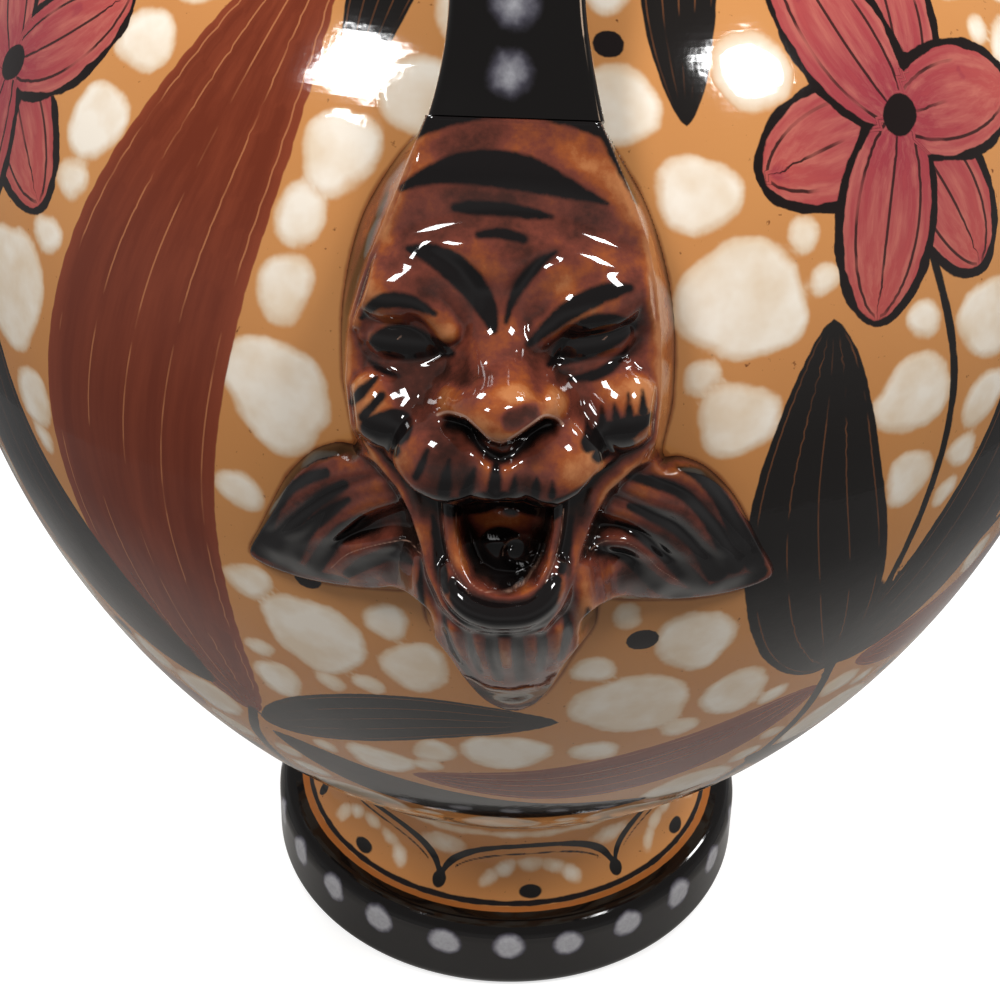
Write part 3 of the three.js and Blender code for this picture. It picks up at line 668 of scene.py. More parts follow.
def painted_glaze(colours):
    """Slip-painted earthenware under a clear gloss glaze, fired once more after brushing.

    The glaze is a thin glassy coat: sharp lamp reflections with slightly wavy edges. The cream
    slip lies a tenth of a millimetre proud, and its thin edges let the ochre through. The leaf
    colours show the drag of a 6 mm brush, and fine ribs are scratched through to the ground.
    """
    material, tree, surface = glaze("painted_earthenware_glaze", Roughness=0.07, IOR=1.52)
    layers = Painting.LAYERS + ("cream", "halo")
    edge = {name: put(tree, "ShaderNodeAttribute", attribute_name=name)["Fac"] for name in layers}
    lay = {name: put(tree, "ShaderNodeAttribute", attribute_name=name + "_lay")["Vector"]
        for name in Painting.LAID}
    place = put(tree, "ShaderNodeTexCoord")["Object"]
    cloud, grit, wobble, shake, milky = (
        put(tree, "ShaderNodeTexNoise", {"Vector": place, "Scale": 1 / (size * MM), "Detail": detail})[0]
        for size, detail in ((38, 3.0), (1.1, 2.0), (5.5, 3.0), (4, 2.0), (8, 3.0)))
    ochre = put(tree, "ShaderNodeMix", {0: cloud, 6: tint("C68248"), 7: colour_value(colours, "ochre")},
        data_type="RGBA")[2]
    fleck = put(tree, "ShaderNodeMapRange", {"Value": grit, "From Min": 0.70, "From Max": 0.80})[0]
    ochre = put(tree, "ShaderNodeMix", {0: fleck, 6: ochre, 7: tint("7A4521")}, data_type="RGBA")[2]
    base, _ = paint_over(tree, ochre, tint("96562C"), edge["halo"], 0.35, wobble, 0.8)
    base, _ = paint_over(tree, base, tint("E3BE97"), edge["cream"], 0.45, wobble, 2.2)
    thick = put(tree, "ShaderNodeMath", {0: edge["cream"], 1: 0.75}, operation="ADD")[0]
    milk = put(tree, "ShaderNodeMapRange", {"Value": milky, "From Min": 0.36, "From Max": 0.64})[0]
    milk = put(tree, "ShaderNodeMix", {0: milk, 6: tint("F1DBBF"), 7: colour_value(colours, "cream")},
        data_type="RGBA")[2]
    base, cream_cover = paint_over(tree, base, milk, thick, 0.9, wobble, 2.8)

    drag = put(tree, "ShaderNodeMapRange",
        {"Value": streaks(tree, lay["rust"], 2.4, 5.0), "From Min": 0.40, "From Max": 0.78,
        "To Max": 0.6})[0]
    rust = put(tree, "ShaderNodeMix", {0: drag, 6: colour_value(colours, "rust"),
        7: colour_value(colours, "rust_light")}, data_type="RGBA")[2]
    rim = put(tree, "ShaderNodeMapRange",
        {"Value": edge["rust"], "From Min": -2.4, "From Max": -0.2, "To Max": 0.55})[0]
    rust = put(tree, "ShaderNodeMix", {0: rim, 6: rust, 7: colour_value(colours, "rust_light")},
        data_type="RGBA")[2]
    leaves = (("rust", rust, "B9744A", 0.8), ("leaf", colour_value(colours, "leaf_black"), "7A4A2C", 0.6))
    for name, tone, scratch, strength in leaves:
        tone = put(tree, "ShaderNodeMix",
            {0: ribs(tree, lay[name], 2.3, 0.11, strength), 6: tone, 7: tint(scratch)},
            data_type="RGBA")[2]
        base, _ = paint_over(tree, base, tone, edge[name], 0.14, shake, 0.45)

    for name in ("petal", "bloom"):
        along = put(tree, "ShaderNodeSeparateXYZ", {0: lay[name]})
        drag = streaks(tree, lay[name], 1.6, 3.6)
        heart = put(tree, "ShaderNodeMapRange",
            {"Value": along[0], "From Min": 0.85, "From Max": 0.0, "To Max": 2.0})[0]
        deep = put(tree, "ShaderNodeMath", {0: heart, 1: drag}, operation="MULTIPLY", use_clamp=True)[0]
        spots = put(tree, "ShaderNodeMapRange",
            {"Value": wobble, "From Min": 0.58, "From Max": 0.70, "To Max": 0.55})[0]
        deep = put(tree, "ShaderNodeMath", {0: deep, 1: spots}, operation="MAXIMUM")[0]
        tone = put(tree, "ShaderNodeMix",
            {0: deep, 6: colour_value(colours, "petal"), 7: colour_value(colours, "petal_deep")},
            data_type="RGBA")[2]
        wash = put(tree, "ShaderNodeMapRange",
            {"Value": drag, "From Min": 0.42, "From Max": 0.70, "To Max": 0.75})[0]
        tone = put(tree, "ShaderNodeMix", {0: wash, 6: tone, 7: tint("CB7766")}, data_type="RGBA")[2]
        tone = put(tree, "ShaderNodeMix",
            {0: ribs(tree, lay[name], 1.55, 0.2, 0.9), 6: tone, 7: colour_value(colours, "ink")},
            data_type="RGBA")[2]
        base, _ = paint_over(tree, base, tone, edge[name], 0.2)
        off = put(tree, "ShaderNodeMath", {0: edge[name], 1: 0.25}, operation="ADD")[0]
        off = put(tree, "ShaderNodeMath", {0: off}, operation="ABSOLUTE")[0]
        width = put(tree, "ShaderNodeMapRange",
            {"Value": wobble, "From Min": 0.32, "From Max": 0.68, "To Min": 0.32, "To Max": 1.0})[0]
        line = put(tree, "ShaderNodeMath", {0: off, 1: width}, operation="SUBTRACT")[0]
        base, _ = paint_over(tree, base, colour_value(colours, "ink"), line, 0.13)
    base, _ = paint_over(tree, base, colour_value(colours, "ink"), edge["ink"], 0.14, shake, 0.4)

    height = put(tree, "ShaderNodeMath", {0: cream_cover, 1: 0.07}, operation="MULTIPLY")[0]
    height = put(tree, "ShaderNodeMath", {0: wobble, 1: 0.045, 2: height}, operation="MULTIPLY_ADD")[0]
    height = put(tree, "ShaderNodeMath", {0: grit, 1: 0.004, 2: height}, operation="MULTIPLY_ADD")[0]
    coat(tree, surface, base, height)
    return material


def black_slip_glaze(colours):
    """Black slip with brushed pale grey dots under the same clear gloss glaze.

    The glaze is thick here, so the black is deep, the reflections are sharp, and each dot has
    a pale middle that thins to a cloudy edge.
    """
    material, tree, surface = glaze("black_slip_gloss_glaze", Roughness=0.06, IOR=1.54)
    dot, band, arris = (
        put(tree, "ShaderNodeAttribute", attribute_name=name)["Fac"] for name in ("dot", "band", "arris"))
    place = put(tree, "ShaderNodeTexCoord")["Object"]
    wobble = put(tree, "ShaderNodeTexNoise", {"Vector": place, "Scale": 1 / (2.4 * MM), "Detail": 3.0})[0]
    fine = put(tree, "ShaderNodeTexNoise",
        {"Vector": place, "Scale": 1 / MM, "Detail": 3.0, "Roughness": 0.7})[0]
    ripple = put(tree, "ShaderNodeTexNoise", {"Vector": place, "Scale": 1 / (6 * MM)})[0]
    veil = tint("4A4752")
    base, _ = paint_over(tree, colour_value(colours, "slip_black"), veil, dot, 0.45, wobble, 0.8)
    middle = put(tree, "ShaderNodeMath", {0: dot, 1: 0.7}, operation="ADD")[0]
    pale = put(tree, "ShaderNodeMix", {0: fine, 6: tint("8C8B90"), 7: colour_value(colours, "dot")},
        data_type="RGBA")[2]
    base, _ = paint_over(tree, base, pale, middle, 0.75, wobble, 1.4)
    base, _ = paint_over(tree, base, tint("B66F38"), band, 0.12, wobble, 0.25)
    # pale line along the straps' edges: partly glaze thinned on the arris, partly painted highlight
    base, _ = paint_over(tree, base, tint("C9AE96"), arris, 0.1)
    height = put(tree, "ShaderNodeMath", {0: ripple, 1: 0.045}, operation="MULTIPLY")[0]
    coat(tree, surface, base, height)
    return material


def treacle_glaze(colours):
    """Treacle-brown lead glaze over a moulded mask, with black brushed under it.

    The glaze runs off the ridges, where the clay shows orange, and pools nearly black in the
    hollows. It breaks to a thin pale line on the sharpest edges. The same pale colour is also
    painted highlight: along the tops of the rolled lobes, as catch-lights in the eyes, and in
    part along the front plate's edges.
    """
    material, tree, surface = glaze("treacle_gloss_glaze", Roughness=0.06, IOR=1.55)
    pool, brush, rim = (
        put(tree, "ShaderNodeAttribute", attribute_name=name)["Fac"] for name in ("pool", "brush", "rim"))
    place = put(tree, "ShaderNodeTexCoord")["Object"]
    patch = put(tree, "ShaderNodeTexNoise", {"Vector": place, "Scale": 1 / (6.5 * MM), "Detail": 3.0})[0]
    fine = put(tree, "ShaderNodeTexNoise",
        {"Vector": place, "Scale": 1 / (1.3 * MM), "Detail": 4.0, "Roughness": 0.65})[0]
    ripple = put(tree, "ShaderNodeTexNoise", {"Vector": place, "Scale": 1 / (3.2 * MM)})[0]
    mottle = put(tree, "ShaderNodeMath", {0: patch, 1: 0.5}, operation="SUBTRACT")[0]
    depth = put(tree, "ShaderNodeMath", {0: mottle, 1: -1.0, 2: pool}, operation="MULTIPLY_ADD")[0]
    speck = put(tree, "ShaderNodeMath", {0: fine, 1: 0.5}, operation="SUBTRACT")[0]
    depth = put(tree, "ShaderNodeMath", {0: speck, 1: 0.4, 2: depth}, operation="MULTIPLY_ADD")[0]
    ramp = put(tree, "ShaderNodeValToRGB", {0: depth})[0]
    tones = ramp.node.color_ramp
    tones.elements[0].position, tones.elements[0].color = 0.04, colour_value(colours, "treacle_thin")
    tones.elements[1].position, tones.elements[1].color = 0.94, colour_value(colours, "treacle_pool")
    tones.elements.new(0.24).color = tint("934C26")
    tones.elements.new(0.44).color = colour_value(colours, "treacle")
    tones.elements.new(0.68).color = tint("45231B")
    base, _ = paint_over(tree, ramp, colour_value(colours, "mask_black"), brush, 0.36, fine, 0.7)
    # pale glaze breaks on sharp edges, plus painted highlights on the lobe tops, painted catch-lights in the
    # eyes and partly painted highlights along the plate's edges
    base, _ = paint_over(tree, base, tint("C79C86"), rim, 0.14)
    height = put(tree, "ShaderNodeMath", {0: ripple, 1: 0.03}, operation="MULTIPLY")[0]
    coat(tree, surface, base, height)
    return material


def studio_floor(colours):
    """Matt white card under the vase.

    It keeps the soft shadow round the foot, is seen white beyond it, and the glaze mirrors it
    as the pale veil on every surface that looks down.
    """
    material, tree, surface = glaze("matt_white_card", Roughness=0.9, IOR=1.3)
    surface.inputs["Emission Color"].default_value = (1, 1, 1, 1)
    light = put(tree, "ShaderNodeLightPath")
    place = put(tree, "ShaderNodeTexCoord")["Object"]
    away = put(tree, "ShaderNodeVectorMath", {0: place}, operation="LENGTH")["Value"]
    seen = put(tree, "ShaderNodeMapRange",
        {"Value": away, "From Min": 0.05, "From Max": 0.13, "To Min": 0.72, "To Max": 1.0},
        interpolation_type="SMOOTHSTEP")[0]
    seen = put(tree, "ShaderNodeMath", {0: seen, 1: light["Is Camera Ray"]}, operation="MULTIPLY")[0]
    tree.links.new(seen, surface.inputs["Emission Strength"])
    far = put(tree, "ShaderNodeMapRange", {"Value": away, "From Min": 0.13, "From Max": 0.26},
        interpolation_type="SMOOTHSTEP")[0]
    card = put(tree, "ShaderNodeMix", {0: far, 6: colour_value(colours, "floor"),
        7: (0.16, 0.16, 0.16, 1)}, data_type="RGBA")[2]
    tree.links.new(card, surface.inputs["Base Color"])
    return material


# ---------------------------------------------------------------- the cat mask, a relief over the belly
# Its plane has u across, v up and h outward. Tubes are lists of (u, v, h), domes are
# (u, v, half width, half height, top, rise, turn), brush strokes are lists of (u, v, half width).

TILT = math.radians(24)
MASK_AXES = np.array([[1, 0, 0], [0, math.sin(TILT), math.cos(TILT)], [0, -math.cos(TILT), math.sin(TILT)]])
MASK_TOP, MASK_LEAN = 41.0, 0.037
RELIEF_SPAN = ((-42.5, 42.5), (-50.5, 41.3))
DEEPEST = 60.0  # how far below the plane the belly is looked for

# Each side of a grid cell: the step to its neighbour, then the two corners between them
CELL_SIDES = [(-1, 0, (0, 1), (0, 0)), (1, 0, (1, 0), (1, 1)), (0, -1, (0, 0), (1, 0)),
    (0, 1, (1, 1), (0, 1))]

# Seams between the mask's pieces, right-hand halves

FACE_HALF = [(12.3, 41.4), (12.3, 41), (16.4, 35), (20, 27.7), (21.9, 21), (22.9, 13.7), (22.9, 5),
    (21.7, -2.6)]
CHEEK_SEAM = [(18, -6.5), (14.6, -10.5), (11.4, -12.5)]
LIP_SEAM = [(9.8, -9.6), (6.4, -10.4), (3.5, -9.8), (0, -8.5)]
JAW_SEAM = [(10.6, -17), (9, -21.8), (5.8, -25.2), (0, -26.3)]
MOUTH_SEAM = [(6.9, -15), (5.4, -18.8), (2.8, -20.8), (0, -21.3)]
LOCK_SEAM = [(13, -19.5), (13.6, -24), (13.5, -26.6)]
BEARD_EDGE = [(12.9, -31), (10.5, -35.2), (8, -40.5), (4.7, -45.9), (1.4, -48.3), (0, -48.5)]
RUFF_EDGE = [(24.2, -3), (28, -4.6), (31.9, -8.3), (34.4, -12.1), (37.2, -17), (39.9, -21.8),
             (38, -23.9), (33, -25.5), (28.4, -26.2), (22, -26.5), (16.8, -26.3)]

# The outline's top on either side, and the crisp edge of the face's front plate with its height
TOP_RIGHT = [(12.5, 60), (12.5, 41.3), (14.1, 38.8), (15.8, 36.0), (17.9, 32.6)]
TOP_LEFT = [(-17.6, 32.4), (-14.4, 37.0), (-12.0, 39.6), (-10.5, 41.3), (-10.5, 60)]
PLATE_EDGE = [(12.27, 60), (12.27, 41.4), (13.5, 38.8), (15.0, 35.2), (16.8, 31), (18.4, 26.7),
    (19.8, 21), (20.6, 15), (20.8, 6), (20.2, 0), (17, -10), (-17, -10), (-21.0, 0), (-21.6, 6.7),
    (-20.9, 15), (-18.2, 22.6), (-15.8, 28), (-12.6, 35.5), (-11.1, 39.2), (-10.27, 41.4), (-10.27, 60)]
PLATE_RISE = [(42, 14), (35.5, 14), (28, 13), (22.6, 12), (15, 10.2), (6.5, 9.4), (0, 9), (-8, 8.6)]
HEAD_EDGE = [(-23, 60), (-23, -1), (-20.9, -2), (-17.5, -4.2), (-14.6, -7.5), (-12.8, -11), (-11.4, -15),
    (-10.3, -19), (-8.4, -23), (-5, -26), (0, -26.6), (5, -25.8), (7.6, -22.5), (9.2, -18), (10.4, -14),
    (11.6, -10.5), (13.6, -6.8), (17.2, -3.4), (20.4, -1.4), (23, 0), (23, 60)]


def mask_origin(profiles):
    """Where the mask's plane starts: just inside the front of the belly."""
    return np.array([0, 1.4 - profiles.belly, profiles.belly_z + 10])


def mask_rim():
    """The outline of the whole mask, left open at the top for the strap, which leans to the right."""
    low = FACE_HALF[3:] + RUFF_EDGE + LOCK_SEAM[-1:] + BEARD_EDGE
    left = [(-u, v) for u, v in reversed(low) if u > 0]
    rim = smooth_line(TOP_RIGHT[1:] + low + left + TOP_LEFT[:-1], 190)
    return TOP_RIGHT[:1] + [tuple(p) for p in rim] + TOP_LEFT[-1:]


def both_sides(half):
    """A right-hand outline carried on down its mirror image."""
    return half + [(-u, v) for u, v in reversed(half) if u > 0]


def mask_outlines():
    """The outline of each of the mask's six pieces."""
    ruff = FACE_HALF[-1:] + RUFF_EDGE + LOCK_SEAM[::-1] + JAW_SEAM[:1] + CHEEK_SEAM[::-1]
    left = [(-u, v) for u, v in reversed(ruff)]
    jaw_half = [LIP_SEAM[1], LIP_SEAM[0], CHEEK_SEAM[2]] + JAW_SEAM
    mouth = [(-u, v) for u, v in MOUTH_SEAM if u > 0] + MOUTH_SEAM[::-1]
    chin = [(-u, v) for u, v in JAW_SEAM[1:] if u > 0] + JAW_SEAM[:0:-1]
    return {
        "mask_face": both_sides(FACE_HALF + CHEEK_SEAM + LIP_SEAM),
        "mask_jaw": both_sides(jaw_half) + mouth,
        "mask_tongue": both_sides(LIP_SEAM[:0:-1] + MOUTH_SEAM),
        "mask_beard": both_sides(JAW_SEAM[:1] + LOCK_SEAM + BEARD_EDGE) + chin,
        "mask_ruff_right": ruff,
        "mask_ruff_left": left,
    }


def to_segment(u, v, a, b):
    """Where along the segment from a to b its nearest point lies, and the distance to it."""
    du, dv = b[0] - a[0], b[1] - a[1]
    t = np.clip(((u - a[0]) * du + (v - a[1]) * dv) / max(du * du + dv * dv, TINY), 0, 1)
    return t, np.hypot(u - a[0] - t * du, v - a[1] - t * dv)


def polygon_depth(u, v, outline):
    """Distance to an outline, positive inside it."""
    best = np.full(u.shape, FAR)
    within = np.zeros(u.shape, bool)
    for a, b in zip(outline, outline[1:] + outline[:1]):
        best = np.minimum(best, to_segment(u, v, a, b)[1])
        if a[1] != b[1]:
            within ^= ((a[1] > v) != (b[1] > v)) & (u < a[0] + (v - a[1]) * (b[0] - a[0]) / (b[1] - a[1]))
    return np.where(within, best, -best)


def blend_max(a, b, k):
    """The higher of two surfaces, run together over the width k."""
    mix = np.clip(0.5 + 0.5 * (a - b) / k, 0, 1)
    return b + (a - b) * mix + k * mix * (1 - mix)


def blend_min(a, b, k):
    """The lower of two surfaces, run together over the width k."""
    return -blend_max(-a, -b, k)


def ease(x, low, high):
    """A soft step from 0 at low to 1 at high."""
    t = np.clip((x - low) / (high - low), 0, 1)
    return t * t * (3 - 2 * t)


def ellipse(u, v, cu, cv, half_u, half_v, turn=0.0):
    """Squared distance from an ellipse's middle, 1 on its edge."""
    c, s = math.cos(math.radians(turn)), math.sin(math.radians(turn))
    du, dv = u - cu, v - cv
    return ((du * c + dv * s) / half_u) ** 2 + ((-du * s + dv * c) / half_v) ** 2


def dome(u, v, cu, cv, half_u, half_v, top, rise, turn=0.0):
    """A rounded lump on an ellipse."""
    q = ellipse(u, v, cu, cv, half_u, half_v, turn)
    round_ = top - rise + rise * np.sqrt(np.clip(1 - q, 0, 1))
    return round_ - 2.0 * rise * np.clip(np.sqrt(q) - 1, 0, None)


def tube(u, v, line, radius, rise=None):
    """A rounded ridge whose crest follows the line."""
    rise = rise or radius
    line = np.array(line, float)
    if len(line) > 2:
        line = smooth_line(line, 5 * len(line))
    best, crest = np.full(u.shape, FAR), np.zeros(u.shape)
    for a, b in zip(line, line[1:]):
        t, away = to_segment(u, v, a, b)
        crest = np.where(away < best, a[2] + t * (b[2] - a[2]), crest)
        best = np.minimum(best, away)
    away = best / radius
    return crest - rise + rise * np.sqrt(np.clip(1 - away**2, 0, 1)) - 2.2 * rise * np.clip(away - 1, 0, None)


def near_line(u, v, line):
    """Distance to a smooth line through (u, v) points."""
    line = smooth_line(np.array(line, float)[:, :2], 5 * len(line))
    best = np.full(u.shape, FAR)
    for a, b in zip(line, line[1:]):
        best = np.minimum(best, to_segment(u, v, a, b)[1])
    return best


def strokes_edge(u, v, strokes):
    """Distance to the nearest of several tapered brush strokes, negative inside."""
    best = np.full(u.shape, FAR)
    for line in strokes:
        line = np.array(line, float)
        if len(line) > 2:
            line = smooth_line(line, 5 * len(line))
        for a, b in zip(line, line[1:]):
            t, away = to_segment(u, v, a, b)
            best = np.minimum(best, away - a[2] - t * (b[2] - a[2]))
    return best


def over_edge(u, v, edge):
    """Height over an edge, from its (u, v) points listed from left to right."""
    return v - np.interp(u, *np.array(edge).T)


def by_height(v, table):
    """A value that changes up the mask, from (v, value) pairs listed downwards."""
    table = np.array(table[::-1], float)
    return np.interp(v, table[:, 0], table[:, 1])


# Edges of the nose, the lips and the beard's curtain, each listed from left to right
NOSE_EDGE = [(-12, 1.0), (-9.2, 2.6), (-8.5, 3.3), (-6.8, 4.0), (-4.6, 3.9), (-3, 2.7), (-1.7, 1.4),
    (-0.1, 0.9), (1.1, 1.5), (3.4, 3.1), (5.2, 4.2), (6.7, 3.7), (7.6, 2.7), (10, 0.8)]
LIP_EDGE = [(-16, -2.6), (-14.2, -4.4), (-12, -6.7), (-8.9, -8.0), (-6.2, -8.7), (-4.2, -8.5),
    (-2.1, -7.8), (0.4, -7.5), (2.5, -8.1), (5.1, -8.6), (6.9, -8.1), (9.8, -6.2), (11.9, -3.7),
    (13.5, -1.8)]
UPPER_EDGE = [(-24.5, 1.5), (-20.9, -0.2), (-17.5, -2.2), (-14.2, -4.4)] + LIP_EDGE[2:-1] + [(14.2, -2.6),
    (17.2, -1.2), (20.4, 0.4), (24.5, 2.2)]
CURTAIN_EDGE = [(-9, -31), (-6.6, -34), (-5, -36.4), (-2.9, -38.5), (-0.2, -38.6), (2, -37.8), (4.3, -36),
    (6.5, -35.6), (8.7, -33.4), (10.5, -30)]
# Ridges of the ruffs, each a line with its radius, and the ruffs' lower rims
RUFF_RIDGES = [
    # left: four lobes, the lower lobe's roll and its belly
    ([(-12, 0.6, 6.4), (-17.5, -1.2, 5.0), (-21.4, -2.4, 3.6), (-25.8, -3.8, 1.6), (-29.6, -6.2, -0.6),
        (-32.8, -10, -3.6), (-35.4, -14.2, -7.6), (-37.6, -18.4, -12)], 2.3),
    ([(-11, -2.6, 6.6), (-17.5, -5, 4.8), (-23, -6.8, 2.9), (-27, -9.2, 0.4), (-30.4, -11.8, -2.4),
        (-33.7, -15.4, -6.4), (-36, -19.2, -10.8)], 2.3),
    ([(-10, -4.6, 6.0), (-17.2, -7.6, 4.2), (-23, -10, 1.6), (-27, -13.2, -1.2), (-30.7, -16.6, -4.8),
        (-33.8, -20.2, -9.2)], 2.2),
    ([(-9.5, -7.0, 5.6), (-16, -9.2, 3.8), (-20.4, -11, 2.6), (-24, -13.8, 0.2), (-27.4, -17.4, -3.6),
        (-30.2, -21.4, -8.0)], 2.3),
    ([(-10.5, -17, 1.6), (-12.8, -16.1, 1.7), (-15.6, -16.3, 1.4), (-18, -17.2, 0.4),
        (-20.5, -18.1, -1.0), (-23, -19.3, -2.8), (-25.4, -21.6, -5.8), (-27.7, -23.6, -9.0)], 1.5),
    ([(-11.5, -19.6, -0.6), (-15.5, -19.8, -1.4), (-19.5, -21, -3.8), (-23, -22.8, -7)], 2.6),
    # right: the same, as the hand laid it
    ([(11, 0, 6.4), (15.4, -2, 4.8), (19.4, -3.6, 3.2), (22.7, -4.8, 1.7), (25.9, -6.8, -0.2),
        (28.8, -9.8, -3.0), (32, -14.2, -7.2), (34.8, -18.8, -11.8)], 2.3),
    ([(10, -3, 6.4), (14, -5.4, 4.8), (17.8, -7.0, 3.9), (20.6, -8.4, 2.7), (24.1, -10, 0.6),
        (27, -12.8, -2.3), (30, -16.8, -6.6), (32.6, -21, -11)], 2.3),
    ([(9, -7.4, 5.6), (13, -9.2, 3.8), (17, -10.6, 2.6), (20.8, -12.8, 0.6), (24.2, -15.8, -2.6),
        (27, -19.4, -6.4), (29.4, -22.4, -9.8)], 2.3),
    ([(10.8, -16.3, 1.7), (13.1, -14.9, 2.2), (16.4, -14.8, 1.9), (18.9, -16.2, 0.3), (21, -18.9, -2.6),
        (23.6, -21.3, -6.2), (26.8, -22.9, -9.6)], 1.5),
    ([(11.8, -18.4, 0.2), (14.8, -18.8, -0.6), (18, -20.6, -3.0), (21, -22.8, -6.8)], 2.6),
]
RIMS = [
    [(-40.6, -21.2), (-38.0, -23.2), (-34.6, -24.3), (-31.1, -25.1), (-25.6, -25.8), (-20.7, -26.0),
        (-13.8, -25.6)],
    [(13.8, -25.4), (19.6, -26.0), (24.1, -25.9), (28.6, -25.5), (33, -24.8), (37, -23.8), (39.5, -22)],
]

# The forehead's height from (v, h) pairs, then forms that stand up out of the face: each is a
# tube (its line and radii) or a dome, with the width over which it runs into what lies round it
CROWN = [(46, 14), (41, 14), (39, 14.3), (36.5, 15.0), (33.5, 15.2), (31.2, 14.9), (29.6, 14.6),
    (28.6, 14.6), (27.6, 15.3), (26.4, 16.2), (25, 16.7), (23, 16.8), (20, 16.0), (17, 15.0), (14, 14.2),
    (10, 13.1), (5, 12.2), (0, 11.6), (-12, 10)]
BROWS = [
    ((-13.2, 18.8, 6.2, 4.2, 16.3, 4.5, 8), 1.6),
    ((10.8, 18.3, 7.2, 4.4, 16.5, 4.5, 14), 1.6),
    (([(-19, 15.2, 11.6), (-16.8, 17.3, 13.8), (-14.2, 18.1, 15.2), (-11.5, 17.7, 15.9),
        (-9.2, 16.4, 15.9), (-7.4, 14.3, 15.2)], 1.9), 1.2),
    (([(3.4, 13.2, 15.2), (6.3, 15.9, 16.1), (9.3, 18.1, 16.4), (13, 19.9, 15.2), (16.4, 20.3, 13.0)],
        1.9), 1.2),
    (([(-18.4, 13.0, 10.8), (-16.2, 14.9, 12.6), (-13.6, 15.6, 13.7), (-11, 15.0, 13.9),
        (-8.4, 13.2, 13.6), (-6.6, 11.4, 13.2)], 1.25), 0.8),
    (([(5.4, 11.4, 13.4), (7.6, 14.6, 14.0), (9.8, 16.9, 14.2), (12.6, 18.0, 13.8), (15, 17.4, 12.6),
        (17, 15.8, 10.8)], 1.2), 0.8),
]
LIDS = [
    (([(-18.2, 11.2, 10.0), (-16.4, 9.9, 11.0), (-14.3, 9.0, 11.7), (-11.9, 8.7, 12.3), (-9.2, 9.1, 12.9),
        (-6.2, 10.8, 13.4)], 0.9), 0.7),
    (([(5.9, 9.9, 13.4), (8.6, 10.3, 12.8), (11.5, 10.9, 12.4), (14.4, 12.4, 11.8), (16.6, 14.6, 10.8)],
        0.9), 0.7),
    (([(-17.4, 9.0, 10.4), (-15.6, 7.5, 11.6), (-13, 6.6, 12.6), (-10, 6.8, 13.2)], 1.3), 1.2),
    ((12.2, 8.6, 5.4, 3.2, 12.9, 4.0, 14), 1.2),
]
NOSE = [
    (([(-0.8, 13, 15.0), (-0.6, 10, 17.6), (-0.4, 7.4, 20.4), (-0.4, 4.4, 21.6)], 7.2, 5.5), 1.8),
    ((-0.5, 4.4, 6.6, 4.6, 26.2, 8.0), 2.4),
    ((-6.0, 4.8, 3.2, 3.1, 21.4, 6.5, 14), 2.0),
    ((5.4, 5.2, 3.2, 3.1, 21.4, 6.5, -12), 2.0),
]
MUZZLE = [
    ((6.3, -2.2, 7.0, 7.2, 20.5, 7.4, -8), 1.4),
    ((-0.7, -2.2, 5.2, 7.0, 21.6, 7.4), 1.6),
]
# Grooves between the brows: line, depth and width
FROWN = [
    ([(-9.3, 23.6), (-6.2, 22.3), (-3.9, 20), (-2.0, 16.8), (-1.4, 14.6)], 0.8, 1.5),
    ([(6.3, 24.3), (4.3, 23), (2.2, 20.6), (0.8, 18.2), (0.2, 15)], 0.7, 1.1),
]
# The locks of the beard, each a line with its radius
LOCKS = [
    ([(-10.6, -15.5, 8.6), (-10.9, -20, 7.8), (-10.4, -24.3, 5.6), (-9.2, -28.7, 2.4),
        (-7.6, -32.4, -0.6), (-6.6, -34.8, -2.8)], 2.3),
    ([(-12.0, -20, 5.2), (-12.2, -24, 3.4), (-11.6, -28, 0.6), (-9.8, -32.6, -3.6), (-7.4, -37, -8.0)], 1.7),
    ([(-6.6, -26.6, 9.2), (-6.0, -30, 5.8), (-5.2, -33.4, 1.4), (-4.6, -35.4, -1.8)], 1.7),
    ([(-3.4, -27.0, 11.0), (-3.2, -30, 8.2), (-2.8, -34, 2.6), (-2.5, -36.8, -2.4)], 1.6),
    ([(-0.1, -27.1, 11.6), (-0.2, -30, 8.9), (0.0, -34, 2.9), (0.1, -37.0, -2.6)], 1.6),
    ([(3.2, -26.9, 10.8), (3.5, -30, 7.8), (3.6, -33.4, 2.8), (3.2, -36.0, -1.5)], 1.6),
    ([(6.5, -26.2, 8.8), (6.6, -29.4, 6.0), (6.4, -31.8, 2.8), (6.0, -33.8, -0.4)], 1.7),
    ([(9.4, -16.5, 9.6), (9.8, -20.4, 9.2), (10.3, -24, 7.0), (10.4, -27.6, 3.8), (9.6, -30.4, 1.2),
        (9.0, -32.0, -0.4)], 2.1),
    ([(11.9, -20, 5.4), (12.3, -24, 3.4), (11.8, -28, 0.8), (10.2, -32, -2.8), (8.2, -35.4, -6.2)], 1.7),
]


def raise_forms(height, u, v, forms):
    """Blend tubes and domes into a surface, one after the other."""
    for form, softness in forms:
        shape = tube if isinstance(form[0], list) else dome
        height = blend_max(height, shape(u, v, *form), softness)
    return height


